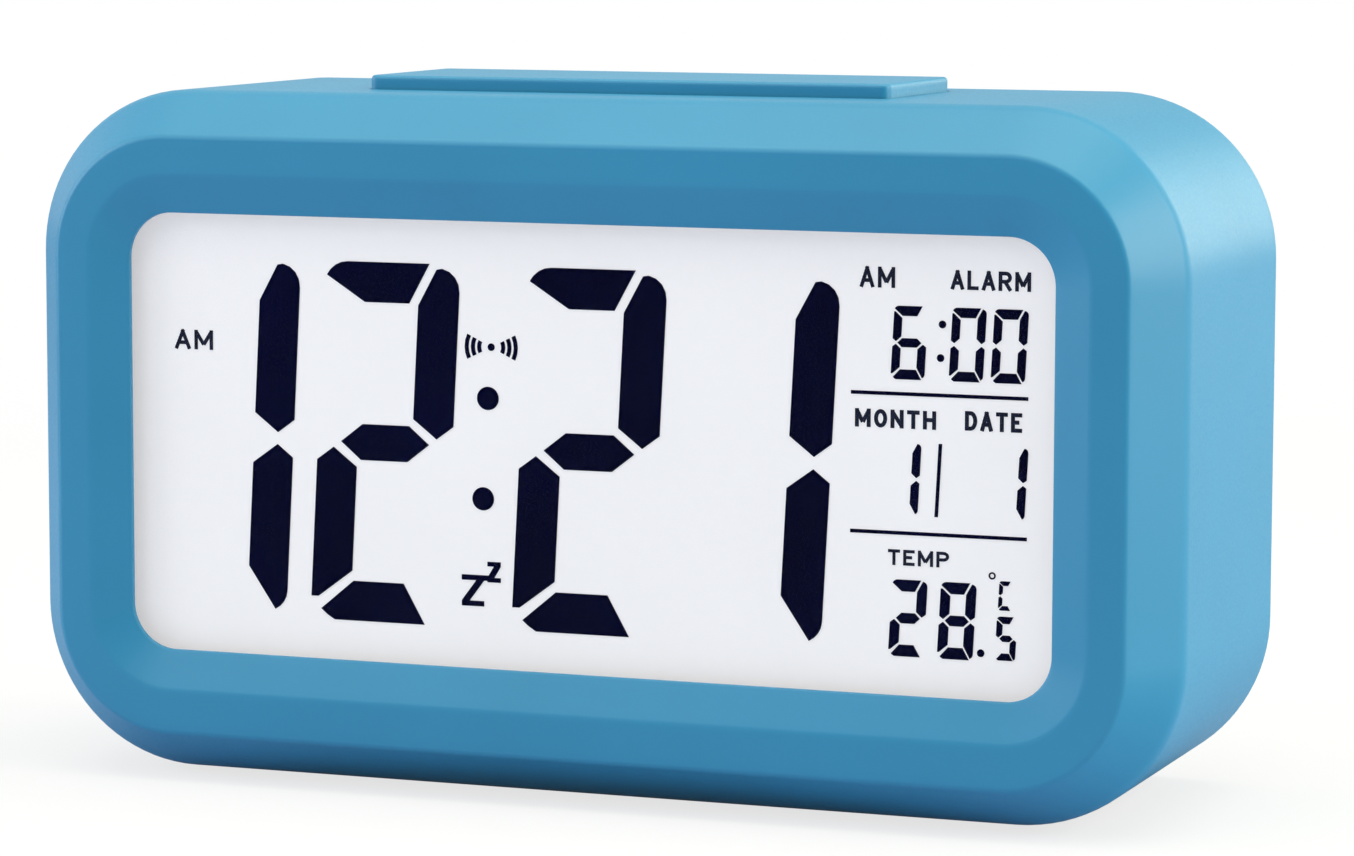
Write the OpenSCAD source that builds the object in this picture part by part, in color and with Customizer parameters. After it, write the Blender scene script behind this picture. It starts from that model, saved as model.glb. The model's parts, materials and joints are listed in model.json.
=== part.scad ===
// Digital alarm clock: large display, snooze bar on top, keys and batteries at the back.
// x points to the viewer's right, y to the back and z up from the table. Inside the modules
// y is the depth behind the front face; every finished part is then centred over its base.

/* [Housing] */
// Width across the two sides
body_w = 135; // [131:1:150]
// Height of the moulding without its feet
body_h = 77.4; // [74:0.2:84]
// Depth from the front face to the rear rim
body_d = 45; // [43:0.5:55]
// Radius of the four long corners
corner_r = 18.5; // [17:0.5:19]
// Thickness of the moulded wall
wall = 2.2; // [1.8:0.1:2.6]
// Thickness of the rim round the rear cover
lip_t = 1.2; // [0.8:0.1:1.4]
// Width of the outer chamfer seen from the front
chamfer_w = 4.9; // [4.4:0.1:5.4]
// Depth of the outer chamfer
chamfer_d = 6.5; // [5.5:0.1:8]
// Chamfer on the rear outer edge
rear_edge = 0.8; // [0.4:0.1:1.2]
// Width of the flat front rim at the sides
side_rim = 4; // [3.6:0.1:4.8]
// Width of the flat front rim above and below the display
top_rim = 4.6; // [4:0.1:5.4]
// Width of the bevel that falls towards the display
bevel_w = 4.4; // [4:0.1:5]
// Depth of that bevel
bevel_d = 1.66; // [1.2:0.02:1.7]
// Corner radius of the display window
window_r = 5.2; // [3.6:0.1:6]
// Height of the window's centre above the housing's centre
window_lift = 0.3; // [0:0.1:0.6]
// Radius of the corner posts that take the case screws
post_r = 3.4; // [3.2:0.1:3.6]
// Radius of the round feet
foot_r = 4; // [3:0.25:5]
// How far the feet stand below the housing
foot_proud = 0.8; // [0.5:0.1:1.5]
// Depth of the recess that holds a foot
foot_recess = 0.6; // [0.4:0.1:0.9]

/* [Display] */
// Thickness of the clear front lens
lens_t = 0.8; // [0.6:0.1:1.2]
// Thickness of each display glass
glass_t = 0.7; // [0.5:0.1:1.1]
// Thickness of each polarizer film
polarizer_t = 0.14; // [0.1:0.02:0.2]
// Thickness of the light guide behind the glass
guide_t = 3; // [2:0.2:4]
// Wall of the frame that holds the display
holder_wall = 1.6; // [1.2:0.1:1.8]
// How far the glass reaches past the window
glass_lap = 2.8; // [2.2:0.1:3]
// Height of the contact ledge along the lower edge of the front glass
ledge_h = 2.3; // [2.1:0.1:2.6]
// Height of the large digits
digit_h = 40.4; // [36:0.2:42]
// Width of the large digits
digit_w = 16.4; // [14:0.2:17]
// Width of an upright stroke of the large digits
stroke_v = 4.9; // [3.5:0.05:5]
// Width of a level stroke of the large digits
stroke_h = 4.5; // [3.5:0.05:5]
// White gap between neighbouring strokes
stroke_gap = 0.95; // [0.5:0.05:1.2]
// Distance between the large digits of a pair
digit_pitch = 19.45; // [18.5:0.05:20]
// Extra distance between hours and minutes
colon_gap = 5; // [4:0.1:6]
// Sideways lean of the digits per unit of height
digit_lean = 0.052; // [0:0.002:0.1]
// Width of the side panel with alarm, date and temperature
panel_w = 19.8; // [18:0.1:21]
// Distance from the side panel to the window's right edge
panel_margin = 3.5; // [3:0.1:5]
// Height of the small digits
small_h = 7.9; // [6.5:0.1:8.4]
// Width of the small digits
small_w = 3.8; // [3.4:0.1:4]

/* [Snooze bar] */
// Length of the bar along the top
bar_w = 62; // [56:1:64]
// Distance from the front face to the bar
bar_front = 16; // [15:0.5:18]
// Distance from the bar's back edge to the rear rim
bar_rear = 7; // [6.5:0.5:10]
// How far the bar stands above the housing
bar_rise = 1.6; // [1.2:0.1:2.4]
// Corner radius of the bar
bar_r = 1; // [0.6:0.1:2]
// Travel of the bar when pressed
bar_travel = 1; // [0.6:0.1:1.1]
// Length of the return springs at rest
bar_spring_len = 8.6; // [8:0.1:9.4]
// Mean radius of the return springs
bar_spring_r = 2.6; // [2.4:0.1:3]
// Wire radius of the return springs
bar_spring_wire = 0.25; // [0.2:0.05:0.3]

/* [Rear cover] */
// Thickness of the rear cover
cover_t = 2; // [1.6:0.1:2.4]
// How far the cover lies inside the rear rim
cover_inset = 1.5; // [1.2:0.1:2]
// Width of a key
key_w = 10; // [8:0.5:11]
// Height of a key
key_h = 6; // [5:0.5:7]
// Distance between the keys
key_pitch = 20; // [19:0.5:21]
// Height of the key row above the table
key_z = 58; // [57:0.5:59]
// How far the keys stand out of the cover
key_proud = 1; // [0.8:0.1:1.2]
// Travel of a key when pressed
key_travel = 0.6; // [0.3:0.1:0.7]
// Travel of the slide switch
slide_travel = 3; // [2:0.5:4]
// Radius of the buzzer disc
buzzer_r = 10; // [8:0.5:11]
// Radius of the sound holes
sound_hole_r = 0.8; // [0.5:0.1:1]

/* [Batteries] */
// Radius of a cell
cell_r = 5.25; // [5:0.05:5.3]
// Length of a cell over its button
cell_len = 44.5; // [44:0.1:45]
// Distance between cell axes
cell_pitch = 11.2; // [10.8:0.1:11.4]
// Height of the compartment's centre above the table
tray_z = 27; // [26.5:0.5:29]
// Wall of the compartment
tray_t = 1.4; // [1:0.1:1.8]
// Length of the contact springs
contact_spring_len = 4.5; // [4:0.1:5.5]
// Wire radius of the contact springs
contact_wire = 0.3; // [0.2:0.05:0.35]
// Thickness of the contact plates
contact_t = 0.4; // [0.3:0.05:0.5]
// Thickness of the battery door
door_t = 1.6; // [1.4:0.1:1.8]

/* [Boards and screws] */
// Thickness of the circuit boards
board_t = 1.6; // [1:0.2:2]
// Shank radius of the small screws
screw_r = 1; // [0.8:0.1:1.1]
// Shank radius of the case screws
case_screw_r = 1.2; // [1:0.1:1.4]
// Radius of the cable wires
wire_r = 0.5; // [0.4:0.05:0.7]

/* [Fits] */
// Gap round caps that move in an opening
fit = 0.3; // [0.2:0.05:0.4]
// Radial clearance of pins that slide in a bore
run_fit = 0.08; // [0.05:0.01:0.1]
// Radial clearance of screws in their bores
thread_fit = 0.05; // [0.02:0.01:0.08]
// Gap between the films and glasses of the display
film_gap = 0.03; // [0.02:0.01:0.05]

/* [Hidden] */
$fn = 48;
// Overlap that joins two shapes of one piece, and how far a cut runs past the face that it opens
eps = 0.01;
over = 1;

// Colours of the finishes
blue = [0.23, 0.53, 0.71];
dark = [0.05, 0.06, 0.15];
clear = [0.85, 0.92, 0.95, 0.35];
white = [0.93, 0.94, 0.95];
board_green = [0.08, 0.35, 0.2];
steel = [0.7, 0.71, 0.72];
brass = [0.8, 0.65, 0.3];
copper = [0.75, 0.45, 0.3];
black = [0.08, 0.08, 0.09];
rubber = [0.2, 0.21, 0.22];

// Housing, worked out from the driving sizes
mid_z = foot_proud + body_h / 2;
top_z = foot_proud + body_h;
roof_z = top_z - wall;
corner_x = body_w / 2 - corner_r;
corner_z = body_h / 2 - corner_r;
front_r = corner_r - chamfer_w;
cavity_r = corner_r - wall;
chamfer_len = sqrt(chamfer_w * chamfer_w + chamfer_d * chamfer_d);
inner_chamfer_r = front_r - wall * chamfer_d / chamfer_len;
inner_chamfer_y = wall * chamfer_w / chamfer_len;
cavity_front_r = inner_chamfer_r + (wall - inner_chamfer_y) * chamfer_w / chamfer_d;
cavity_full_y = inner_chamfer_y + (cavity_r - inner_chamfer_r) * chamfer_d / chamfer_w;
foot_side_gap = 3;
foot_front_gap = 7.2;
foot_rear_gap = 2;
foot_x = corner_x - foot_r - foot_side_gap;
foot_y = [chamfer_d + foot_r + foot_front_gap, body_d - foot_r - foot_rear_gap];

// Window and display stack, front to back
window_hw = body_w / 2 - chamfer_w - side_rim - bevel_w;
window_hh = body_h / 2 - chamfer_w - top_rim - bevel_w;
window_z = mid_z + window_lift;
gasket_t = polarizer_t + 2 * film_gap;
lens_y = wall;
gasket_y = lens_y + lens_t;
glass_y = gasket_y + gasket_t;
segment_t = 0.06;
segment_y = glass_y + glass_t + film_gap;
rear_glass_y = segment_y + segment_t + film_gap;
rear_film_y = rear_glass_y + glass_t + film_gap;
guide_y = rear_film_y + polarizer_t + film_gap;
holder_back_y = guide_y + guide_t + film_gap;
holder_back_t = 1.2;
board_gap = 1.8;
board_y = holder_back_y + holder_back_t + board_gap;
board_back_y = board_y + board_t;

// Glass outline: the lower edge carries the contact ledge
lower_lap = 1;
pane_hw = window_hw + glass_lap;
pane_top = window_z + window_hh + glass_lap;
pane_bottom = window_z - window_hh - lower_lap - ledge_h;
rear_pane_bottom = pane_bottom + ledge_h;
pane_h = pane_top - pane_bottom;
pane_z = (pane_top + pane_bottom) / 2;
lens_corner_r = 4;
gasket_land = 0.9;
holder_hw = pane_hw + fit + holder_wall;
holder_hh = pane_h / 2 + fit + holder_wall;
holder_r = 5;

// Posts, bosses and boards; posts and bosses sink a little into the wall that carries them
post_sink = 0.4;
post_reach = cavity_r - post_r + post_sink;
post_x = corner_x + post_reach * cos(45);
post_dz = corner_z + post_reach * sin(45);
post_clear = 1.3;
boss_r = 2.3;
boss_sink = 0.4;
boss_x = holder_hw + fit + boss_r;
boss_y = (boss_x + boss_r - body_w / 2 + chamfer_w) * chamfer_d / chamfer_w + boss_sink;
board_hh = post_dz - post_r - post_clear;
board_edge = 0.4;
board_hw = boss_x + boss_r + board_edge;
boss_inset = 5;
boss_dz = board_hh - boss_inset;
screw_len = 7;
screw_end_gap = 1;
screw_pass = 0.2;
screw_head_r = 2 * screw_r;
screw_head_t = 1.2;
zebra_t = 1.6;
zebra_z = pane_bottom + fit;
zebra_inset = 4;
zebra_hw = window_hw - zebra_inset;
zebra_margin = 2;
zebra_foot = 0.8;

// Snooze bar
bar_d = body_d - bar_front - bar_rear;
bar_y = bar_front + bar_d / 2;
// Pins, springs and switch stand in the front half, clear of the key board
press_inset = 8.5;
press_y = bar_front + press_inset;
bar_top = top_z + bar_rise;
flange_lap = 1.5;
flange_t = 1.2;
flange_gap = 0.2;
flange_top = roof_z - flange_gap;
flange_z = flange_top - flange_t;
bar_skin = 1.8;
bar_rib_hw = 0.8;
bar_core_wall = 1;
pin_inset = 8.5;
pin_x = bar_w / 2 - pin_inset;
pin_r = 1.5;
pin_tail = 2;
snooze_board_z = flange_z - bar_spring_len;
snooze_boss_clear = 1.2;
snooze_boss_x = bar_w / 2 + flange_lap + boss_r + snooze_boss_clear;
snooze_board_edge = 2.2;
snooze_hw = snooze_boss_x + boss_r + snooze_board_edge;
snooze_hd = 7;
plunger_r = 1.75;
switch_w = 6;
switch_base = 0.8;
snooze_switch_h = 4;
press_gap = 0.5;
snooze_stem_z = snooze_board_z + snooze_switch_h + bar_travel + press_gap;

// Rear cover and its keys
cover_y = body_d - cover_inset - cover_t;
cover_face_y = cover_y + cover_t;
cover_gap = 0.2;
cover_r = corner_r - lip_t - cover_gap;
key_names = ["mode", "set", "up", "down", "alarm"];
key_x = [for (k = [0:4]) (k - 2) * key_pitch];
key_flange_t = 1.1;
key_flange_lap = 1.25;
key_flange_gap = 0.1;
key_flange_y = cover_y - key_flange_gap - key_flange_t;
key_stem_len = 1.3;
key_stem_y = key_flange_y - key_stem_len;
key_gap = key_travel + press_gap;
switch_h = 3.4;
key_board_y = key_stem_y - key_gap - switch_h - board_t;
plunger_sink = 1;
plunger_room = 0.4;
plunger_len = key_gap + plunger_sink;
key_board_edge = 8;
key_board_hw = 2 * key_pitch + key_board_edge;
key_board_hh = 5;
key_boss_x = 1.5 * key_pitch;
key_screw_len = 5.5;
head_seat = 0.7;
case_head_r = 2 * case_screw_r;
case_head_t = 1.2;
case_screw_len = 9;

// Battery compartment and its door
tray_hw = cell_len / 2 + contact_spring_len / 2 + contact_t;
cell_slack = 0.6;
tray_hh = cell_pitch + cell_r + cell_slack;
cell_door_gap = 1.25;
cell_floor_gap = 0.25;
cell_y = cover_y - cell_r - cell_door_gap;
tray_floor_y = cell_y - cell_r - cell_floor_gap;
door_side_ledge = 1;
door_ledge = 0.45;
opening_hw = tray_hw + door_side_ledge;
opening_hh = tray_hh + door_ledge;
door_hw = opening_hw - fit;
door_hh = opening_hh - fit / 2;
door_y = cover_face_y - door_t;
hinge_z = tray_z - door_hh;
door_top_z = tray_z + door_hh;
tongue_x = 15;
tongue_hw = 3;
tongue_drop = 1.85;
tongue_root = 1.4;
tongue_t = 1.4;
tongue_gap = 0.2;
tongue_y = cover_y - tongue_gap;
cell_z = [for (k = [-1:1]) tray_z + k * cell_pitch];
// Sign of the end that carries the button of each cell
cell_plus = [1, -1, 1];
button_r = 1.9;
button_h = 1;
contact_h = 7;
contact_hd = 4;
tab_h = 3;
tab_len = 2.5;
tab_fit = 0.1;
tab_x = tray_hw - contact_t / 2;
tab_y = tray_floor_y - tray_t - tab_len;

// Slide switch and buzzer, halfway between the batteries and the cover's edges
side_x = (tray_hw + tray_t + corner_x + cover_r) / 2;
slide_x = side_x;
slide_w = 4;
slide_hh = 1.5;
slide_proud = 0.8;
slide_plate_t = 1.2;
slide_plate_hw = 10;
slide_plate_hh = 3.5;
slide_can_t = 3.5;
slide_can_hw = 6;
slide_can_wall = 1;
slide_peg_x = 8;
slide_peg_r = 0.9;
slide_peg_tip = 0.8;
peg_fit = 0.1;
buzzer_x = -side_x;
buzzer_ledge = 0.8;
buzzer_ring_t = 1.3;
buzzer_ring_lip = 0.8;
buzzer_air = 1.1;
buzzer_seat_y = cover_y - buzzer_air;
disc_t = 0.3;
ceramic_t = 0.25;
ceramic_r = 0.72 * buzzer_r;
buzzer_rear_y = buzzer_seat_y - disc_t;

// Basic shapes. A slab is drawn in x and z and spans two depths.
module slab(y0, y1)
  translate([0, y1, 0]) rotate([90, 0, 0]) linear_extrude(y1 - y0) children();
module along_x(x0, x1)
  translate([x0, 0, 0]) rotate([90, 0, 90]) linear_extrude(x1 - x0) children();
module rod_x(y, z, r, x0, x1)
  translate([x0, y, z]) rotate([0, 90, 0]) cylinder(r = r, h = x1 - x0);
module rod_y(x, z, r, y0, y1)
  translate([x, y1, z]) rotate([90, 0, 0]) cylinder(r = r, h = y1 - y0);
module rod_z(x, y, r, z0, z1)
  translate([x, y, z0]) cylinder(r = r, h = z1 - z0);
module span(x, y, z)
  translate([x[0], y[0], z[0]]) cube([x[1] - x[0], y[1] - y[0], z[1] - z[0]]);
module both_sides(x)
  for (s = [-1, 1]) translate([s * x, 0, 0]) children();

module round_rect(w, h, r) {
  square([w - 2 * r, h], center = true);
  square([w, h - 2 * r], center = true);
  for (sx = [-1, 1], sy = [-1, 1])
    translate([sx * (w / 2 - r), sy * (h / 2 - r)]) circle(r);
}

// A rounded box whose corner radius follows a profile of [radius, depth] points
module corner_loft(cx, cz, profile) {
  upper = [for (p = profile) if (p[0] > 0) [p[1], cz + p[0]]];
  lower = [for (i = [len(profile) - 1:-1:0]) if (profile[i][0] > 0) [profile[i][1], -cz - profile[i][0]]];
  along_x(-cx, cx) polygon(concat(upper, lower));
  for (side = [0, 1])
    mirror([side, 0, 0]) translate([cx, 0, -cz]) linear_extrude(2 * cz) polygon(profile);
  for (side = [0, 1], end = [0, 1])
    mirror([side, 0, 0]) mirror([0, 0, end]) translate([cx, 0, -cz])
      rotate([-90, 0, 0]) rotate_extrude(angle = 90) polygon(profile);
}
module body_loft(profile)
  translate([0, 0, mid_z]) corner_loft(corner_x, corner_z, profile);

// A tube swept along points; side is any direction that no stretch of the path follows
function unit(v) = v / norm(v);
function path_dir(p, i) = unit(p[min(i + 1, len(p) - 1)] - p[max(i - 1, 0)]);
function ring(p, i, r, side, n) =
  let (t = path_dir(p, i), u = unit(cross(t, side)), v = cross(t, u))
  [for (k = [0:n - 1]) p[i] + r * (cos(360 * k / n) * u + sin(360 * k / n) * v)];
module tube(p, r, side, n = 6) {
  last = len(p) - 1;
  points = [for (i = [0:last]) each ring(p, i, r, side, n)];
  walls = [for (i = [0:last - 1], k = [0:n - 1]) let (a = i * n + k, b = i * n + (k + 1) % n)
    each [[a, a + n, b + n], [a, b + n, b]]];
  caps = [for (k = [1:n - 2]) each [[0, k, k + 1], [last * n, last * n + k + 1, last * n + k]]];
  polyhedron(points, concat(walls, caps), convexity = 6);
}
function bezier(a, b, c, d, n) = [for (i = [0:n]) let (t = i / n, s = 1 - t)
  s * s * s * a + 3 * s * s * t * b + 3 * s * t * t * c + t * t * t * d];

// Points of a coil about the z axis; radius and height run from start to end
function coil(r0, r1, z0, z1, turns) = let (steps = turns * 8)
  [for (i = [0:steps]) let (f = i / steps, r = r0 + (r1 - r0) * f)
    [r * cos(360 * turns * f), r * sin(360 * turns * f), z0 + (z1 - z0) * f]];
// Least clear distance between one curl and the next
function coil_gap(p, wire) = min([for (i = [0:len(p) - 9], k = [7:min(9, len(p) - 1 - i)])
  norm(p[i + k] - p[i])]) - 2 * wire;

bar_coil_turns = 4;
contact_turns = 3;
contact_base_r = 4;
contact_tip_r = 2;
spring_seat = 0.03;
bar_coil = coil(bar_spring_r, bar_spring_r, bar_spring_wire + spring_seat,
                bar_spring_len - bar_spring_wire - spring_seat, bar_coil_turns);
contact_coil = coil(contact_base_r, contact_tip_r, contact_wire + spring_seat,
                    contact_spring_len - contact_wire - spring_seat, contact_turns);
echo(snooze_spring_gap = coil_gap(bar_coil, bar_spring_wire));
echo(contact_spring_gap = coil_gap(contact_coil, contact_wire));

// Housing: front frame and sides in one moulding
module window_cut() {
  slope = bevel_w / bevel_d;
  translate([0, 0, window_z])
    corner_loft(window_hw - window_r, window_hh - window_r,
      [[0, -over], [window_r + bevel_w + over * slope, -over], [window_r, bevel_d],
       [window_r, wall + over], [0, wall + over]]);
}
module shell() difference() {
  body_loft([[0, 0], [front_r, 0], [corner_r, chamfer_d], [corner_r, body_d - rear_edge],
             [corner_r - rear_edge, body_d], [0, body_d]]);
  body_loft([[0, wall], [cavity_front_r, wall], [cavity_r, cavity_full_y], [cavity_r, body_d + over],
             [0, body_d + over]]);
  body_loft([[0, cover_y], [corner_r - lip_t, cover_y], [corner_r - lip_t, body_d + over],
             [0, body_d + over]]);
  window_cut();
}
module at_posts()
  for (sx = [-1, 1], sz = [-1, 1]) translate([sx * post_x, 0, mid_z + sz * post_dz]) children();
module at_board_bosses()
  for (sx = [-1, 1], sz = [-1, 1]) translate([sx * boss_x, 0, mid_z + sz * boss_dz]) children();
module at_feet()
  for (sx = [-1, 1], y = foot_y) translate([sx * foot_x, y, 0]) children();
module housing() color(blue) difference() {
  union() {
    shell();
    at_posts() rod_y(0, 0, post_r, board_back_y, cover_y);
    at_board_bosses() rod_y(0, 0, boss_r, boss_y, board_y);
    both_sides(snooze_boss_x) rod_z(0, press_y, boss_r, snooze_board_z, roof_z + wall / 2);
  }
  translate([0, bar_y, roof_z - over])
    linear_extrude(wall + 2 * over) round_rect(bar_w + 2 * fit, bar_d + 2 * fit, bar_r + fit);
  at_posts() rod_y(0, 0, case_screw_r + thread_fit, cover_y - case_screw_len, cover_y + over);
  at_board_bosses() rod_y(0, 0, screw_r + thread_fit, board_y - screw_len, board_y + over);
  both_sides(snooze_boss_x)
    rod_z(0, press_y, screw_r + thread_fit, snooze_board_z - over, snooze_board_z + screw_len);
  at_feet() rod_z(0, 0, foot_r + fit / 2, foot_proud - over, foot_proud + foot_recess);
}
module foot_pads() color(rubber)
  at_feet() rod_z(0, 0, foot_r, 0, foot_proud + foot_recess);

// Display, front to back
module pane(y0, y1, bottom, r)
  slab(y0, y1) translate([0, (pane_top + bottom) / 2]) round_rect(2 * pane_hw, pane_top - bottom, r);
module lens() color(clear) pane(lens_y, gasket_y, pane_bottom, lens_corner_r);
module lens_gasket() color(black) difference() {
  pane(gasket_y, glass_y, pane_bottom, lens_corner_r);
  slab(gasket_y - over, glass_y + over) translate([0, pane_z])
    round_rect(2 * (pane_hw - gasket_land), pane_h - 2 * gasket_land, lens_corner_r - gasket_land);
}
module front_polarizer() color(clear) slab(gasket_y + film_gap, glass_y - film_gap)
  translate([0, pane_z]) round_rect(2 * (pane_hw - gasket_land - fit),
    pane_h - 2 * (gasket_land + fit), lens_corner_r - gasket_land - fit);
module lcd_front_glass() color(clear) slab(glass_y, glass_y + glass_t)
  translate([0, pane_z]) square([2 * pane_hw, pane_h], center = true);
module rear_sheet(y0, y1)
  slab(y0, y1) translate([-pane_hw, rear_pane_bottom]) square([2 * pane_hw, pane_top - rear_pane_bottom]);
module lcd_rear_glass() color(clear) rear_sheet(rear_glass_y, rear_glass_y + glass_t);
module rear_polarizer() color(white) rear_sheet(rear_film_y, rear_film_y + polarizer_t);

// Strokes of a seven-stroke digit: top, upper right, lower right, bottom, lower left, upper left, middle
lit_strokes = [[0, 1, 2, 3, 4, 5], [1, 2], [0, 1, 6, 4, 3], [0, 1, 6, 2, 3], [5, 6, 1, 2], [0, 5, 6, 2, 3],
               [0, 5, 6, 4, 2, 3], [0, 1, 2], [0, 1, 2, 3, 4, 5, 6], [0, 1, 2, 3, 5, 6], [0, 5, 4, 3]];
letter_c = 10;
function flip(p) = [for (q = p) [q[0], -q[1]]];
function lean(p) = [for (q = p) [q[0] + digit_lean * q[1], q[1]]];
function arc(cx, cy, r, a0, a1) = [for (i = [0:4]) let (a = a0 + (a1 - a0) * i / 4)
  [cx + r * cos(a), cy + r * sin(a)]];
function level_stroke(w, h, tv, th, g) = let (wi = w / 2 - tv, hi = h / 2 - th, r = 0.55 * tv)
  concat([[wi - 1.15 * g, hi], [wi - 1.15 * g + th / 2, h / 2]], arc(r - w / 2, h / 2 - r, r, 90, 155),
         [[0.15 * g - wi, hi]]);
function base_stroke(w, h, tv, th, g) = let (wi = w / 2 - tv, hi = h / 2 - th, left = -w / 2)
  [[wi - 0.3 * g, hi], [wi - 0.3 * g + 0.62 * th, h / 2], [left + 0.61 * tv, h / 2],
   [left + 0.42 * tv, h / 2 - 0.58 * g], [left + 0.26 * tv, h / 2 - 1.26 * g], [0.2 * g - wi, hi]];
function right_stroke(w, tv, th, g, end) = let (wi = w / 2 - tv, tip = 0.7 * g)
  concat([[w / 2, tip + 0.3 * tv], [wi + 0.6 * tv, tip], [wi, 0.45 * th + 0.85 * g]], end);
function upper_end(w, h, tv, th, g) = let (wi = w / 2 - tv, hi = h / 2 - th, r = 0.55 * tv)
  concat([[wi, hi - 0.2 * g], [wi + 0.45 * th, hi + 0.86 * th]], arc(w / 2 - r, (h - g) / 2 - r, r, 80, 0));
function lower_end(w, h, tv, th, g) = let (r = 0.48 * tv)
  concat([[w / 2 - tv, h / 2 - th - 1.15 * g]], arc(w / 2 - r, h / 2 - 3.1 * g, r, 66, 0));
function left_stroke(w, h, tv, th, g) = let (wi = w / 2 - tv, hi = h / 2 - th, tip = 0.7 * g)
  [[-w / 2, tip + 0.3 * tv], [-w / 2, hi + 0.43 * th], [0.18 * tv - w / 2, hi + 0.43 * th],
   [-wi, hi - 1.2 * g], [-wi, 0.45 * th + 0.85 * g], [-wi - 0.6 * tv, tip]];
function middle_stroke(w, tv, th, g) = let (wi = w / 2 - tv, x = wi - 0.5 * g, z = 0.45 * th)
  [[-wi - 0.42 * tv, 0], [-x, z], [x, z], [wi + 0.42 * tv, 0], [x, -z], [-x, -z]];
function stroke(k, w, h, tv, th, g) =
  k == 0 ? level_stroke(w, h, tv, th, g) :
  k == 1 ? right_stroke(w, tv, th, g, upper_end(w, h, tv, th, g)) :
  k == 2 ? flip(right_stroke(w, tv, th, g, lower_end(w, h, tv, th, g))) :
  k == 3 ? flip(base_stroke(w, h, tv, th, g)) :
  k == 4 ? flip(left_stroke(w, h, tv, th, g)) :
  k == 5 ? left_stroke(w, h, tv, th, g) : middle_stroke(w, tv, th, g);
module digit(value, x, z, w, h, tv, th, g)
  for (k = lit_strokes[value]) translate([x, z]) polygon(lean(stroke(k, w, h, tv, th, g)));
digit_drop = 0.4;
small_stroke_v = 0.96;
small_stroke_h = 1.08;
small_gap = 0.2;
module big_digit(value, x)
  digit(value, x, window_z - digit_drop, digit_w, digit_h, stroke_v, stroke_h, stroke_gap);
module small_digit(value, x, z, size = 1, weight = 1)
  digit(value, x, z, size * small_w, size * small_h, weight * size * small_stroke_v,
        weight * size * small_stroke_h, size * small_gap);

// Display layout, from the window and the side panel
panel_right = window_hw - panel_margin;
panel_left = panel_right - panel_w;
time_x = (panel_left - window_hw) / 2;
time_steps = [-1.494, -0.497, 0.503, 1.523];
time_value = [1, 2, 2, 1];
colon_r = 1.3;
colon_dz = 5.6;
colon_drop = 0.5;
small_dot_r = 0.42;
divider_t = 0.4;
divider_dz = 7.5;
small_pitch = 4.65;
alarm_rise = 13;
alarm_row = window_z + alarm_rise;
alarm_value = [6, 0, 0];
alarm_steps = [-2.4, -1, 0];
alarm_inset = 0.2;
alarm_x = panel_right - small_w / 2 - alarm_inset;
alarm_dots_step = -2.08;
alarm_dots_x = panel_right + alarm_dots_step * small_pitch;
alarm_dots_dz = 1.8;
alarm_dots_rise = 0.3;
date_drop = 1.65;
date_row = window_z - date_drop;
month_inset = 0.7;
month_x = panel_left + panel_w / 3 - month_inset;
day_inset = 0.1;
day_x = panel_right - small_w / 2 - day_inset;
date_bar_hw = 0.2;
temp_drop = 16.7;
temp_row = window_z - temp_drop;
temp_size = 1.055;
temp_weight = 1.12;
tens_dx = 6.6;
units_dx = 12.1;
temp_dot_dx = 14.8;
temp_dot_rise = 0.64;
tenths_dx = 17.6;
tenths_drop = 1.6;
tenths_size = 0.6;
tenths_weight = 1.2;
degree_dx = 17.5;
degree_rise = 3;
degree_size = 0.4;
degree_weight = 1.15;
degree_ring_dx = 16;
degree_ring_rise = 1.15;
degree_ring_r = 0.4;
degree_ring_t = 0.18;
icon_dx = 0.7;
icon_rise = 10.8;
icon_r = 1.2;
icon_step = 0.75;
icon_t = 0.48;
icon_half_turn = 26;
sleep_dx = [-2.9, 0.2];
sleep_drop = [18.15, 15.4];
sleep_w = [2.7, 1.6];
sleep_over = [0.65, 0];
sleep_h = [3.5, 2.3];
sleep_t = [0.6, 0.52];
module alarm_icon() {
  circle(small_dot_r);
  for (side = [0, 1], r = [icon_r:icon_step:icon_r + 2 * icon_step])
    mirror([side, 0]) polygon(concat(arc(0, 0, r, -icon_half_turn, icon_half_turn),
                                     arc(0, 0, r + icon_t, icon_half_turn, -icon_half_turn)));
}
module sleep_mark(w, h, t, over_w)
  polygon([[0, h], [0, h - t], [w - 1.6 * t, h - t], [0, t], [0, 0], [w, 0], [w, t], [1.6 * t, t],
           [w, h - t], [w + over_w, h - t], [w + over_w, h]]);
module time_marks() {
  for (k = [0:3])
    big_digit(time_value[k], time_x + time_steps[k] * digit_pitch + sign(time_steps[k]) * colon_gap / 2);
  for (s = [-1, 1])
    translate([time_x + s * digit_lean * colon_dz, window_z - colon_drop + s * colon_dz]) circle(colon_r);
  translate([time_x + icon_dx, window_z + icon_rise]) alarm_icon();
  for (k = [0, 1])
    translate([time_x + sleep_dx[k], window_z - sleep_drop[k]])
      sleep_mark(sleep_w[k], sleep_h[k], sleep_t[k], sleep_over[k]);
}
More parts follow.
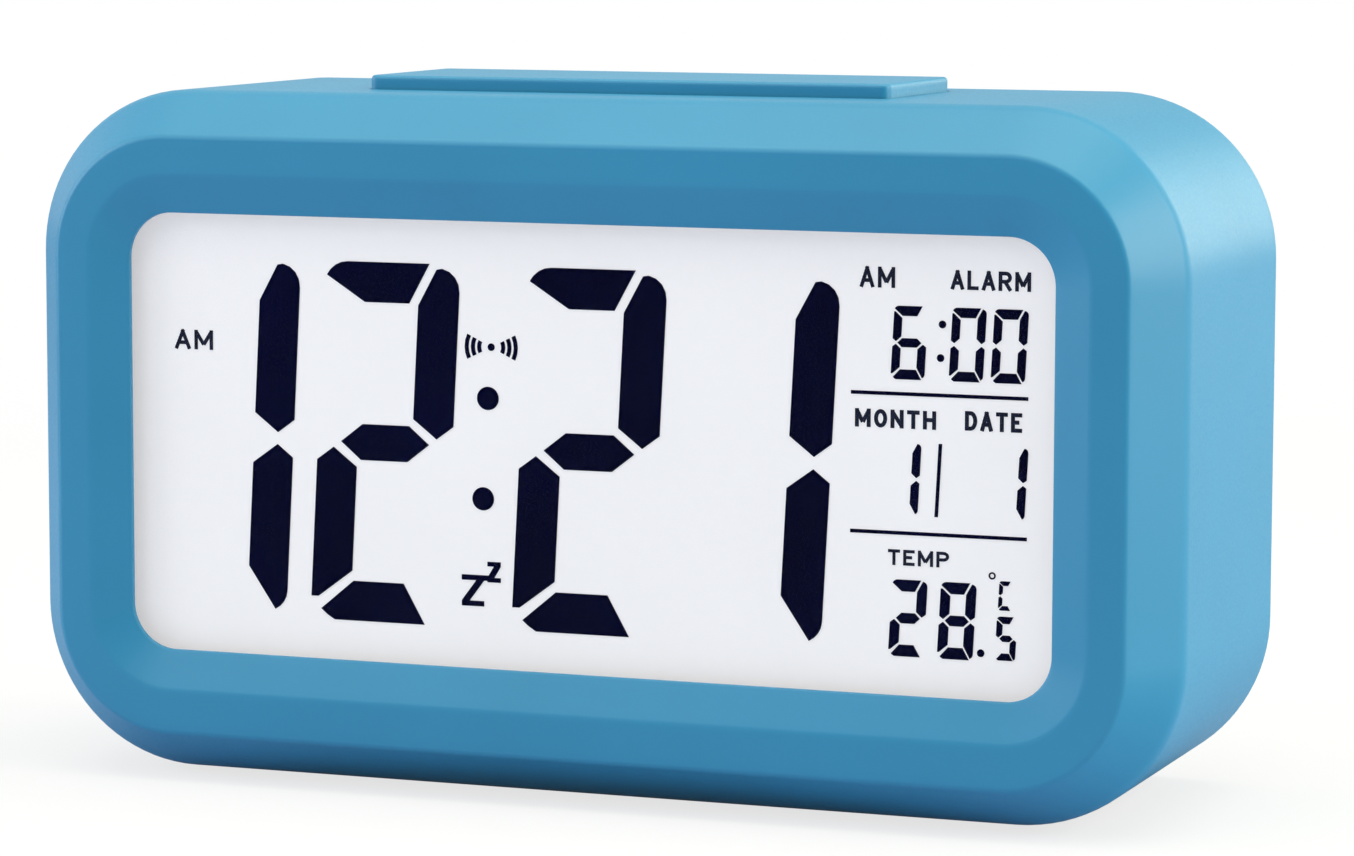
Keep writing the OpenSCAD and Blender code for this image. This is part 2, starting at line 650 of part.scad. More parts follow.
module panel_marks() {
  for (s = [-1, 1])
    translate([panel_left, window_z + s * divider_dz - divider_t / 2]) square([panel_w, divider_t]);
  for (k = [0:2]) small_digit(alarm_value[k], alarm_x + alarm_steps[k] * small_pitch, alarm_row);
  for (s = [-1, 1])
    translate([alarm_dots_x + s * digit_lean * alarm_dots_dz, alarm_row + alarm_dots_rise + s * alarm_dots_dz])
      circle(small_dot_r);
  small_digit(1, month_x, date_row);
  small_digit(1, day_x, date_row);
  translate([panel_left + panel_w / 2, date_row])
    polygon(lean([[-date_bar_hw, -small_h / 2], [date_bar_hw, -small_h / 2], [date_bar_hw, small_h / 2],
                  [-date_bar_hw, small_h / 2]]));
  small_digit(2, panel_left + tens_dx, temp_row, temp_size, temp_weight);
  small_digit(8, panel_left + units_dx, temp_row, temp_size, temp_weight);
  translate([panel_left + temp_dot_dx, temp_row - small_h / 2 + temp_dot_rise]) circle(small_dot_r);
  small_digit(5, panel_left + tenths_dx, temp_row - tenths_drop, tenths_size, tenths_weight);
  small_digit(letter_c, panel_left + degree_dx, temp_row + degree_rise, degree_size, degree_weight);
  translate([panel_left + degree_ring_dx, temp_row + small_h / 2 + degree_ring_rise]) difference() {
    circle(degree_ring_r);
    circle(degree_ring_r - degree_ring_t);
  }
}
module lcd_segments() color(dark) slab(segment_y, segment_y + segment_t) {
  time_marks();
  panel_marks();
}

// Back light, holder and contact strip
led_strip_t = 1;
led_strip_hh = 18;
led_tail_hh = 3;
led_t = 0.9;
led_hh = 1.5;
led_inset = 0.5;
led_pitch = 13;
led_gap = 0.1;
led_x = led_strip_t - pane_hw;
module light_guide() color(clear)
  span([led_x + led_t + led_gap, pane_hw], [guide_y, guide_y + guide_t], [rear_pane_bottom, pane_top]);
module backlight_board() color(board_green) {
  span([-pane_hw, led_x], [guide_y, guide_y + guide_t], [window_z - led_strip_hh, window_z + led_strip_hh]);
  span([-pane_hw, led_x], [guide_y + guide_t - eps, board_y],
       [window_z - led_tail_hh, window_z + led_tail_hh]);
}
module backlight_leds() color(white)
  for (k = [-1:1]) translate([0, 0, window_z + led_pitch * k])
    span([led_x, led_x + led_t], [guide_y + led_inset, guide_y + guide_t - led_inset], [-led_hh, led_hh]);
module holder_room(y0, y1)
  slab(y0, y1) translate([0, pane_z]) square([2 * (pane_hw + fit), pane_h + 2 * fit], center = true);
module lcd_holder() color(white) difference() {
  slab(lens_y, board_y) translate([0, pane_z]) round_rect(2 * holder_hw, 2 * holder_hh, holder_r);
  holder_room(lens_y - over, holder_back_y);
  holder_room(holder_back_y + holder_back_t, board_y + over);
  span([-zebra_hw - fit, zebra_hw + fit], [holder_back_y - over, board_y + over],
       [zebra_z - fit, zebra_z + zebra_t + fit]);
  span([-pane_hw - fit, led_x + fit], [holder_back_y - over, board_y],
       [window_z - led_tail_hh - fit, window_z + led_tail_hh + fit]);
}
module zebra_strip() color(black)
  span([-zebra_hw, zebra_hw], [glass_y + glass_t, board_y], [zebra_z, zebra_z + zebra_t]);

// Main board with its parts, which stand on the back face
module main_board() color(board_green) difference() {
  union() {
    span([-board_hw, board_hw], [board_y, board_back_y], [mid_z - board_hh, mid_z + board_hh]);
    span([-zebra_hw - zebra_margin, zebra_hw + zebra_margin], [board_y, board_back_y],
         [zebra_z - zebra_foot, mid_z]);
  }
  at_board_bosses() rod_y(0, 0, screw_r + screw_pass, board_y - over, board_back_y + over);
}
chip_x = 6;
chip_z = mid_z + 3;
chip_r = 6;
chip_h = 1.8;
crystal_r = 1;
crystal_hl = 3;
crystal_drop = 12;
crystal_z = chip_z - crystal_drop;
cap_r = 2.5;
cap_h = 7;
cap_dx = [18, 26];
cap_rise = 6;
cap_z = chip_z + cap_rise;
resistor = [1.6, 0.5, 0.8];
resistor_dx = 24;
resistor_x = chip_x - resistor_dx;
resistor_drop = 20;
resistor_z = chip_z - resistor_drop;
resistor_pitch = 4;
bead_inset = 10;
bead_x = boss_r - boss_x + bead_inset;
bead_stand = 5;
bead_y = board_back_y + bead_stand;
bead_drop = 16;
bead_z = mid_z - bead_drop;
bead_r = 1.2;
lead_r = 0.25;
lead_dx = 0.6;
module clock_chip() color(black) translate([chip_x, board_back_y, chip_z]) rotate([-90, 0, 0])
  rotate_extrude() polygon(concat([[0, 0]], [for (i = [0:6]) [chip_r * cos(15 * i), chip_h * sin(15 * i)]]));
module crystal() color(steel)
  rod_x(board_back_y + crystal_r, crystal_z, crystal_r, chip_x - crystal_hl, chip_x + crystal_hl);
module capacitors() color(dark)
  for (dx = cap_dx) rod_y(chip_x + dx, cap_z, cap_r, board_back_y, board_back_y + cap_h);
module resistors() color(black)
  for (k = [0:7]) translate([resistor_x + resistor_pitch * k, board_back_y, resistor_z]) cube(resistor);
module thermistor() color(copper) {
  translate([bead_x, bead_y, bead_z]) sphere(bead_r);
  for (s = [-1, 1]) rod_y(bead_x + s * lead_dx, bead_z, lead_r, board_back_y, bead_y);
}

// A screw whose head seats at depth 0 and whose shank runs towards the front
cross_reach = 0.62;
cross_width = 0.16;
module screw(r, len, head_r, head_t) {
  rod_y(0, 0, r, -len, eps);
  difference() {
    rod_y(0, 0, head_r, 0, head_t);
    for (turn = [0, 90])
      rotate([0, turn, 0]) span([-cross_reach * head_r, cross_reach * head_r], [head_t / 2, head_t + over],
        [-cross_width * head_r, cross_width * head_r]);
  }
}
module board_screw()
  screw(screw_r, board_t + screw_len - screw_end_gap, screw_head_r, screw_head_t);
module board_screws() color(steel)
  at_board_bosses() translate([0, board_back_y, 0]) board_screw();

// Snooze bar, its switch, board and springs
module bar_core() {
  core_z = flange_z - 2 * over;
  both_sides(pin_x) rod_z(0, press_y, bar_spring_r + bar_core_wall, core_z, bar_top);
  both_sides(pin_x) span([-bar_rib_hw, bar_rib_hw], [bar_front, bar_front + bar_d], [core_z, bar_top]);
  rod_z(0, press_y, 2 * pin_r + bar_core_wall, core_z, bar_top);
  span([-bar_w / 2, bar_w / 2], [press_y - bar_rib_hw, press_y + bar_rib_hw], [core_z, bar_top]);
}
module snooze_bar() color(blue) difference() {
  union() {
    translate([0, bar_y, flange_z]) linear_extrude(bar_top - flange_z) round_rect(bar_w, bar_d, bar_r);
    translate([0, bar_y, flange_z]) linear_extrude(flange_t)
      round_rect(bar_w + 2 * flange_lap, bar_d + 2 * flange_lap, bar_r);
    both_sides(pin_x) rod_z(0, press_y, pin_r, snooze_board_z - board_t - pin_tail, flange_z + eps);
    rod_z(0, press_y, 2 * pin_r, snooze_stem_z, flange_z + eps);
  }
  difference() {
    translate([0, bar_y, flange_z - over]) linear_extrude(bar_top - bar_skin - flange_z + over)
      square([bar_w - 2 * bar_skin, bar_d - 2 * bar_skin], center = true);
    bar_core();
  }
}
module snooze_plunger() color(black)
  rod_z(0, press_y, plunger_r, snooze_board_z + snooze_switch_h / 2, snooze_stem_z);
module snooze_switch() color(steel) difference() {
  span([-switch_w / 2, switch_w / 2], [press_y - switch_w / 2, press_y + switch_w / 2],
       [snooze_board_z, snooze_board_z + snooze_switch_h]);
  rod_z(0, press_y, plunger_r + run_fit, snooze_board_z + switch_base, snooze_board_z + snooze_switch_h + over);
}
module snooze_board() color(board_green) difference() {
  span([-snooze_hw, snooze_hw], [press_y - snooze_hd, press_y + snooze_hd],
       [snooze_board_z - board_t, snooze_board_z]);
  both_sides(pin_x)
    rod_z(0, press_y, pin_r + run_fit, snooze_board_z - board_t - over, snooze_board_z + over);
  both_sides(snooze_boss_x)
    rod_z(0, press_y, screw_r + screw_pass, snooze_board_z - board_t - over, snooze_board_z + over);
}
module snooze_springs() color(steel)
  both_sides(pin_x) translate([0, press_y, snooze_board_z]) tube(bar_coil, bar_spring_wire, [0, 0, 1]);
module snooze_board_screws() color(steel)
  both_sides(snooze_boss_x) translate([0, press_y, snooze_board_z - board_t])
    rotate([-90, 0, 0]) board_screw();

// Rear cover with battery compartment, key guides and sound holes
sound_ring = 2.6;
slide_slot_hw = slide_w / 2 + slide_travel / 2 + fit;
tongue_reach = norm([cover_face_y - tongue_y + tongue_t, tongue_drop]);
tongue_slot_y = cover_face_y - tongue_reach - fit;
module pill(w, h) {
  square([w - h, h], center = true);
  for (s = [-1, 1]) translate([s * (w - h) / 2, 0]) circle(h / 2);
}
module sound_holes()
  for (k = [0:2], i = [0:max(6 * k, 1) - 1]) let (turn = 60 * i / max(k, 1))
    rod_y(buzzer_x + sound_ring * k * cos(turn), tray_z + sound_ring * k * sin(turn), sound_hole_r,
          cover_y - over, cover_face_y + over);
module tray_block(grow, y0, y1)
  span([-tray_hw - grow, tray_hw + grow], [y0, y1], [tray_z - tray_hh - grow, tray_z + tray_hh + grow]);
module at_tabs() {
  translate([cell_plus[0] * tab_x, 0, cell_z[0]]) children();
  translate([-cell_plus[2] * tab_x, 0, cell_z[2]]) children();
}
module cover_solid() {
  slab(cover_y, cover_face_y) translate([0, mid_z])
    round_rect(2 * (corner_x + cover_r), 2 * (corner_z + cover_r), cover_r);
  tray_block(tray_t, tray_floor_y - tray_t, cover_y + eps);
  both_sides(key_boss_x) rod_y(0, key_z, boss_r, key_board_y + board_t, cover_y + eps);
  rod_y(buzzer_x, tray_z, buzzer_r + fit + buzzer_ring_t, buzzer_rear_y - buzzer_ring_lip, cover_y + eps);
  translate([slide_x, 0, 0])
    both_sides(slide_peg_x)
      rod_y(0, tray_z, slide_peg_r, cover_y - slide_plate_t - slide_peg_tip, cover_y + eps);
}
module rear_cover() color(blue) difference() {
  cover_solid();
  tray_block(0, tray_floor_y, cover_face_y + over);
  span([-opening_hw, opening_hw], [cover_y, cover_face_y + over],
       [tray_z - opening_hh, tray_z + opening_hh]);
  both_sides(tongue_x)
    span([-tongue_hw - fit, tongue_hw + fit], [tongue_slot_y, cover_y],
         [tray_z - tray_hh - tray_t - over, tray_z - tray_hh + over]);
  at_tabs()
    span([-contact_t / 2 - tab_fit, contact_t / 2 + tab_fit],
         [tray_floor_y - tray_t - over, tray_floor_y + over],
         [-tab_h / 2 - tab_fit, tab_h / 2 + tab_fit]);
  for (x = key_x)
    slab(cover_y - over, cover_face_y + over) translate([x, key_z]) pill(key_w + 2 * fit, key_h + 2 * fit);
  both_sides(key_boss_x)
    rod_y(0, key_z, screw_r + thread_fit, key_board_y, key_board_y + board_t + key_screw_len);
  at_posts() {
    rod_y(0, 0, case_screw_r + fit, cover_y - over, cover_face_y + over);
    rod_y(0, 0, case_head_r + fit, cover_y + head_seat, cover_face_y + over);
  }
  rod_y(buzzer_x, tray_z, buzzer_r + fit, buzzer_rear_y - buzzer_ring_lip - over, buzzer_seat_y);
  rod_y(buzzer_x, tray_z, buzzer_r - buzzer_ledge, buzzer_seat_y - over, cover_y);
  sound_holes();
  span([slide_x - slide_slot_hw, slide_x + slide_slot_hw], [cover_y - over, cover_face_y + over],
       [tray_z - slide_hh - fit, tray_z + slide_hh + fit]);
}
module case_screws() color(steel)
  at_posts() translate([0, cover_y + head_seat, 0])
    screw(case_screw_r, head_seat + case_screw_len - screw_end_gap, case_head_r, case_head_t);

// Battery door, hung on two tongues behind the lower edge of its opening
latch_hw = 8;
latch_h = 9;
latch_slit = 0.8;
ridge_rise = 0.5;
ridge_h = 0.8;
ridge_pitch = 1.6;
ridge_inset = 1;
module battery_door() color(blue) {
  difference() {
    span([-door_hw, door_hw], [door_y, cover_face_y], [hinge_z, door_top_z]);
    both_sides(latch_hw) span([-latch_slit / 2, latch_slit / 2], [door_y - over, cover_face_y + over],
      [door_top_z - latch_h, door_top_z + over]);
  }
  for (k = [1:4]) translate([0, 0, door_top_z - ridge_inset - ridge_pitch * k])
    span([ridge_inset - latch_hw, latch_hw - ridge_inset], [cover_face_y - eps, cover_face_y + ridge_rise],
         [0, ridge_h]);
  both_sides(tongue_x) {
    span([-tongue_hw, tongue_hw], [tongue_y - tongue_t, tongue_y],
         [hinge_z - tongue_drop, hinge_z + tongue_root]);
    span([-tongue_hw, tongue_hw], [tongue_y - tongue_t, door_y + eps], [hinge_z, hinge_z + tongue_root]);
  }
}

// Cells in series with their contacts
cell_back_x = tray_hw - contact_t - contact_spring_len;
module battery_cells() color(steel)
  for (k = [0:2]) mirror([cell_plus[k] > 0 ? 0 : 1, 0, 0]) {
    rod_x(cell_y, cell_z[k], cell_r, -cell_back_x, cell_len - cell_back_x - button_h);
    rod_x(cell_y, cell_z[k], button_r, cell_len - cell_back_x - button_h - eps, cell_len - cell_back_x);
  }
module contact_plate(side, z0, z1)
  mirror([side > 0 ? 0 : 1, 0, 0])
    span([tray_hw - contact_t, tray_hw], [cell_y - contact_hd, cell_y + contact_hd],
         [z0 - contact_h / 2, z1 + contact_h / 2]);
module contact_plates() color(steel) {
  contact_plate(cell_plus[0], cell_z[0], cell_z[0]);
  contact_plate(-cell_plus[0], cell_z[0], cell_z[1]);
  contact_plate(cell_plus[2], cell_z[1], cell_z[2]);
  contact_plate(-cell_plus[2], cell_z[2], cell_z[2]);
  at_tabs() span([-contact_t / 2, contact_t / 2], [tab_y, cell_y], [-tab_h / 2, tab_h / 2]);
}
module contact_springs() color(steel)
  for (k = [0:2]) translate([-cell_plus[k] * (tray_hw - contact_t), cell_y, cell_z[k]])
    rotate([0, 90 * cell_plus[k], 0]) tube(contact_coil, contact_wire, [0, 0, 1]);

// Keys on the rear cover, with the plungers and switches behind them
module key(k) color(blue) translate([key_x[k], 0, 0]) {
  slab(key_flange_y, key_flange_y + key_flange_t) translate([0, key_z])
    pill(key_w + 2 * key_flange_lap, key_h + 2 * key_flange_lap);
  slab(key_flange_y, cover_face_y + key_proud) translate([0, key_z]) pill(key_w, key_h);
  rod_y(0, key_z, plunger_r, key_stem_y, key_flange_y + eps);
}
module key_plunger(k) color(black)
  rod_y(key_x[k], key_z, plunger_r, key_stem_y - plunger_len, key_stem_y);
module key_switches() color(steel)
  for (x = key_x) difference() {
    span([x - switch_w / 2, x + switch_w / 2], [key_board_y + board_t, key_board_y + board_t + switch_h],
         [key_z - switch_w / 2, key_z + switch_w / 2]);
    rod_y(x, key_z, plunger_r + run_fit, key_stem_y - plunger_len - key_travel - plunger_room,
          key_board_y + board_t + switch_h + over);
  }
module key_board() color(board_green) difference() {
  span([-key_board_hw, key_board_hw], [key_board_y, key_board_y + board_t],
       [key_z - key_board_hh, key_z + key_board_hh]);
  both_sides(key_boss_x)
    rod_y(0, key_z, screw_r + screw_pass, key_board_y - over, key_board_y + board_t + over);
}
module key_board_screws() color(steel)
  both_sides(key_boss_x) translate([0, key_board_y, key_z]) mirror([0, 1, 0])
    screw(screw_r, board_t + key_screw_len - screw_end_gap, screw_head_r, screw_head_t);

// Alarm slide switch
slide_back_y = cover_y - slide_plate_t - slide_can_t;
slide_foot_y = cover_y - slide_plate_t - fit;
slide_foot_t = 1.2;
slide_foot_lap = 1.1;
slide_room_y = slide_back_y + slide_can_wall;
module slide_block(hw, y0, y1, hh)
  span([slide_x - hw, slide_x + hw], [y0, y1], [tray_z - hh, tray_z + hh]);
module slide_switch_body() color(black) difference() {
  union() {
    slide_block(slide_plate_hw, cover_y - slide_plate_t, cover_y, slide_plate_hh);
    slide_block(slide_can_hw, slide_back_y, cover_y - slide_plate_t + eps, slide_plate_hh);
  }
  slide_block(slide_slot_hw, slide_room_y, cover_y + over, slide_hh + fit);
  slide_block(slide_slot_hw, slide_room_y, cover_y - slide_plate_t, slide_hh + slide_foot_lap + fit);
  translate([slide_x, 0, 0]) both_sides(slide_peg_x)
    rod_y(0, tray_z, slide_peg_r + peg_fit, cover_y - slide_plate_t - over, cover_y + over);
}
module slide_knob() color(black) translate([slide_x - slide_travel / 2, 0, 0]) {
  span([-slide_w / 2, slide_w / 2], [slide_foot_y - slide_foot_t, cover_face_y + slide_proud],
       [tray_z - slide_hh, tray_z + slide_hh]);
  span([-slide_w / 2, slide_w / 2], [slide_foot_y - slide_foot_t, slide_foot_y],
       [tray_z - slide_hh - slide_foot_lap, tray_z + slide_hh + slide_foot_lap]);
}

// Buzzer
module buzzer_disc() color(brass) rod_y(buzzer_x, tray_z, buzzer_r, buzzer_rear_y, buzzer_seat_y);
module buzzer_ceramic() color(white)
  rod_y(buzzer_x, tray_z, ceramic_r, buzzer_rear_y - ceramic_t, buzzer_rear_y);

// Internal wiring; each wire leaves its parts square and curves between them
ribbon_hw = 6;
ribbon_t = 0.6;
ribbon_z = key_z - 3.5;
ribbon_drop = 4;
ribbon_pull = 8;
module ribbon_cable() color(white) {
  low_z = ribbon_z - ribbon_drop;
  path = bezier([key_board_y, ribbon_z], [key_board_y - ribbon_pull, ribbon_z],
                [board_back_y + ribbon_pull, low_z], [board_back_y, low_z], 12);
  upper = [for (p = path) p + [0, ribbon_t / 2]];
  lower = [for (i = [len(path) - 1:-1:0]) path[i] - [0, ribbon_t / 2]];
  along_x(-ribbon_hw, ribbon_hw) polygon(concat(upper, lower));
}
module wire(a, b, pull_a, pull_b, side) {
  start = a + wire_r * unit(pull_a);
  end = b + wire_r * unit(pull_b);
  tube(concat([a], bezier(start, a + pull_a, b + pull_b, end, 12), [b]), wire_r, side);
}
back = [0, 1, 0];
battery_wire_x = 30;
battery_wire_rise = 5;
battery_wire_pull = 5;
module battery_wire(side, z, rise)
  wire([side * tab_x, tab_y, z], [side * battery_wire_x, board_back_y, z + rise],
       -battery_wire_pull * back, battery_wire_pull * back, [0, 0, 1]);
module battery_wires() color(dark) {
  battery_wire(cell_plus[0], cell_z[0], battery_wire_rise);
  battery_wire(-cell_plus[2], cell_z[2], -battery_wire_rise);
}
buzzer_wire_pull = 9;
buzzer_wire_drop = 4;
module buzzer_wire(from_x, from_y, to_x)
  wire([from_x, from_y, tray_z], [to_x, board_back_y, tray_z - buzzer_wire_drop],
       -buzzer_wire_pull * back, buzzer_wire_pull * back, [0, 0, 1]);
module buzzer_wires() color(dark) {
  buzzer_wire(buzzer_x + (ceramic_r + buzzer_r) / 2, buzzer_rear_y, buzzer_x + buzzer_r);
  buzzer_wire(buzzer_x + ceramic_r / 2, buzzer_rear_y - ceramic_t, buzzer_x + buzzer_r / 2);
}
snooze_wire_x = [-14, -11];
snooze_wire_y = press_y - 3;
snooze_wire_drop = 7;
snooze_wire_pull = 5;
module snooze_wires() color(dark)
  for (x = snooze_wire_x)
    wire([x, snooze_wire_y, snooze_board_z - board_t],
         [x, board_back_y, snooze_board_z - board_t - snooze_wire_drop],
         [0, 0, -snooze_wire_pull], snooze_wire_pull * back, [1, 0, 0]);

// The part stands centred over the origin
module placed() translate([0, -body_d / 2, 0]) children();
placed() housing();
placed() foot_pads();
placed() lens();
placed() lens_gasket();
placed() front_polarizer();
placed() lcd_front_glass();
placed() lcd_segments();
placed() lcd_rear_glass();
placed() rear_polarizer();
placed() light_guide();
placed() backlight_board();
placed() backlight_leds();
placed() lcd_holder();
placed() zebra_strip();
placed() main_board();
placed() clock_chip();
placed() crystal();
placed() capacitors();
placed() resistors();
placed() thermistor();
placed() board_screws();
placed() snooze_bar();
placed() snooze_plunger();
placed() snooze_switch();
placed() snooze_board();
placed() snooze_springs();
placed() snooze_board_screws();
placed() rear_cover();
placed() case_screws();
placed() battery_door();
placed() battery_cells();
placed() contact_plates();
placed() contact_springs();
for (k = [0:4]) {
  placed() key(k);
  placed() key_plunger(k);
}
placed() key_switches();
placed() key_board();
placed() key_board_screws();
placed() slide_switch_body();
placed() slide_knob();
placed() buzzer_disc();
placed() buzzer_ceramic();
placed() ribbon_cable();
placed() battery_wires();
placed() buzzer_wires();
placed() snooze_wires();
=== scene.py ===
# %% [markdown]
# # A digital alarm clock
# This lesson dresses a table clock whose construction already exists as solid parts.
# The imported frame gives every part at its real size, in metres, with the clock standing on z = 0,
# the display facing -Y and the rear cover facing +Y.
# Blender adds what the solids leave out: rounded edges, finishes, printed words, light and camera.

# %% Load the frame
import collections
import json
import math

import bmesh
import bpy
from mathutils import Euler, Matrix, Vector


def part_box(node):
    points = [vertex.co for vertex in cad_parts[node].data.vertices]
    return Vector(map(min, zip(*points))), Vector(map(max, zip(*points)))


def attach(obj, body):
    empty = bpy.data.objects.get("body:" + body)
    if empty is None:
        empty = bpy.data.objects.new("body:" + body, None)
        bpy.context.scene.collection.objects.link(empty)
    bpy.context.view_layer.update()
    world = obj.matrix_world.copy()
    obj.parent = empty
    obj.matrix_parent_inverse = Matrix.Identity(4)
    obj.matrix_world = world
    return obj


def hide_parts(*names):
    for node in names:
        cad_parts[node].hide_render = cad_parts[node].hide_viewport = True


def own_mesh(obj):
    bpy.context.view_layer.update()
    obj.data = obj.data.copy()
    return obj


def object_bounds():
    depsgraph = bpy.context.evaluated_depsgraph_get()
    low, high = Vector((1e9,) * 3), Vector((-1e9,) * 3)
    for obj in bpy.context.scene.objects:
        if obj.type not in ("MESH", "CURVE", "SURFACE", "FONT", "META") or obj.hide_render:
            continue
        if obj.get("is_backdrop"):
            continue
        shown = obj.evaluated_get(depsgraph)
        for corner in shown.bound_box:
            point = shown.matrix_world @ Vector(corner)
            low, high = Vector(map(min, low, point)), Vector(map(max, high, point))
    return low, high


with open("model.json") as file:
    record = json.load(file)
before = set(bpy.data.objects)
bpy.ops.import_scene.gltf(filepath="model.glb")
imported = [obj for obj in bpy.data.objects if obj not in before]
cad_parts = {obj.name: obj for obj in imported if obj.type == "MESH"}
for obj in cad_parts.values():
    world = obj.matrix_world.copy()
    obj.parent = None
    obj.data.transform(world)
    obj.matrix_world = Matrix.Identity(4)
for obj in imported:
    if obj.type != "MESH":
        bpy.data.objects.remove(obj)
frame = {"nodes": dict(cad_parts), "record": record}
cad_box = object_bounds()
MM = 0.001
housing_low, housing_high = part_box("housing")

# %% [markdown]
# ## Camera
# The photograph looks at the clock from its right, a little from above, through a long lens.
# A camera is easiest to aim from two angles and a distance: three perpendicular directions, right, up and
# back, become the columns of its matrix. The angles come from fitting the window's edges.

# %% Camera
CAMERA_TURN = math.radians(20.657)
CAMERA_RISE = math.radians(6.437)
CAMERA_ROLL = math.radians(0.13)
CAMERA_REACH = 521.8 * MM
CAMERA_LENS = 128.5
CAMERA_SENSOR = 36
CAMERA_NEAR = 0.02
AIM_X, AIM_Z = 12.46 * MM, 43.03 * MM


def in_scene(name, data):
    """Put a mesh, a lamp or a camera in the scene as an object at the origin."""
    holder = bpy.data.objects.new(name, data)
    bpy.context.scene.collection.objects.link(holder)
    return holder


aim = Vector((AIM_X, housing_low.y, AIM_Z))
backward = Vector((math.sin(CAMERA_TURN) * math.cos(CAMERA_RISE),
                   -math.cos(CAMERA_TURN) * math.cos(CAMERA_RISE), math.sin(CAMERA_RISE)))
level = Vector((math.cos(CAMERA_TURN), math.sin(CAMERA_TURN), 0))
sideways = math.cos(CAMERA_ROLL) * level + math.sin(CAMERA_ROLL) * backward.cross(level)
camera = in_scene("camera", bpy.data.cameras.new("camera"))
camera.data.lens = CAMERA_LENS
camera.data.sensor_width = CAMERA_SENSOR
camera.data.clip_start = CAMERA_NEAR
camera.matrix_world = Matrix.LocRotScale(
    aim + CAMERA_REACH * backward,
    Matrix((sideways, backward.cross(sideways), backward)).transposed(), None)
bpy.context.scene.camera = camera
bpy.context.scene.view_settings.view_transform = "Standard"
print("camera at", [round(v, 3) for v in camera.location])

# %% [markdown]
# ## Node trees
# The light, the finishes and the repeated parts are all node trees. Written out in full, a tree takes many
# lines of nodes and links, so three helpers shorten it: one adds a node together with its inputs, one works
# out a sum, and one carries a value over from one range to another.

# %% Node helpers
def grow(tree, kind, links=(), **settings):
    """Add a node, set its properties, link or set its inputs, and return its outputs."""
    node = tree.nodes.new(kind)
    for label, value in settings.items():
        setattr(node, label, value)
    for socket, value in dict(links).items():
        if isinstance(value, bpy.types.NodeSocket):
            tree.links.new(value, node.inputs[socket])
        else:
            node.inputs[socket].default_value = value
    return node.outputs


def reckon(tree, operation, *values):
    """A math node's result."""
    return grow(tree, "ShaderNodeMath", enumerate(values), operation=operation)[0]


def ranged(tree, value, source=(0, 1), target=(0, 1), ease="LINEAR"):
    """A value carried over from one range to another."""
    ends = {"From Min": source[0], "From Max": source[1], "To Min": target[0], "To Max": target[1]}
    return grow(tree, "ShaderNodeMapRange", {"Value": value, **ends}, interpolation_type=ease)[0]


def distance(tree, spot):
    """How far a spot is from the origin."""
    return grow(tree, "ShaderNodeVectorMath", {0: spot}, operation="LENGTH")["Value"]


print("node helpers ready")

# %% [markdown]
# ## Light
# The clock stands in a light tent: white walls at both sides, above and behind, and a darker opening in
# front where the camera looks in. The world plays the tent. Camera rays always see plain white, and the
# other rays see a gradient that falls off towards the front and a little towards the back, so the sides of
# the clock get a pale sheen.

# %% World
TENT_FRONT = 0.40
TENT_BACK = 0.65
TENT_DIFFUSE = 0.55
FRONT_FADE = (-0.95, -0.25)
BACK_FADE = (0.5, 0.95)
world = bpy.data.worlds.new("tent")
world.use_nodes = True
bpy.context.scene.world = world
sky = world.node_tree
heading = grow(sky, "ShaderNodeSeparateXYZ", {0: grow(sky, "ShaderNodeTexCoord")["Generated"]})["Y"]
front_wall = ranged(sky, heading, FRONT_FADE, (TENT_FRONT, 1), "SMOOTHSTEP")
back_wall = ranged(sky, heading, BACK_FADE, (1, TENT_BACK), "SMOOTHSTEP")
walls = reckon(sky, "MINIMUM", front_wall, back_wall)
ray = grow(sky, "ShaderNodeLightPath")
mirrored = reckon(sky, "MAXIMUM", ray["Is Glossy Ray"], ray["Is Transmission Ray"])
soft = reckon(sky, "MULTIPLY", walls, TENT_DIFFUSE)
shiny = reckon(sky, "MULTIPLY", walls, mirrored)
tent = reckon(sky, "MAXIMUM", soft, shiny)
backdrop = sky.nodes["Background"].inputs
backdrop["Color"].default_value = (1, 1, 1, 1)
sky.links.new(reckon(sky, "MAXIMUM", tent, ray["Is Camera Ray"]), backdrop["Strength"])
print("world nodes:", len(sky.nodes))

# %% [markdown]
# Soft boxes add direction: the largest above, one at each side, a weak one high in front, and one behind on
# the right, whose reflection runs along the right wall. The light from above and from the right is warmer.
# An area light's power spreads over its size, so a large box gives soft edges without much glare.

# %% Soft boxes
PLAIN, WARM = (1.0, 1.0, 1.0), (1.0, 1.0, 0.80)
# name: place in metres, width and height in metres, watts, colour
SOFT_BOXES = {
    "roof_box": ((0.05, -0.08, 0.75), (0.9, 0.7), 4.2, WARM),
    "right_box": ((0.80, 0.00, 0.32), (0.5, 0.6), 5.2, WARM),
    "back_box": ((0.50, 0.80, 0.30), (0.5, 0.5), 2.4, WARM),
    "left_box": ((-0.75, -0.30, 0.30), (0.5, 0.6), 2.9, PLAIN),
    "front_box": ((-0.40, -0.85, 0.62), (0.6, 0.4), 1.4, PLAIN),
}
clock_middle = (housing_low + housing_high) / 2
for box_name, (spot, (wide, high), watts, hue) in SOFT_BOXES.items():
    lamp = bpy.data.lights.new(box_name, "AREA")
    lamp.shape = "RECTANGLE"
    lamp.size, lamp.size_y, lamp.energy, lamp.color = wide, high, watts, hue
    holder = in_scene(box_name, lamp)
    holder.location = spot
    holder.rotation_euler = (clock_middle - Vector(spot)).to_track_quat("-Z", "Y").to_euler()
print("soft boxes:", ", ".join(SOFT_BOXES))

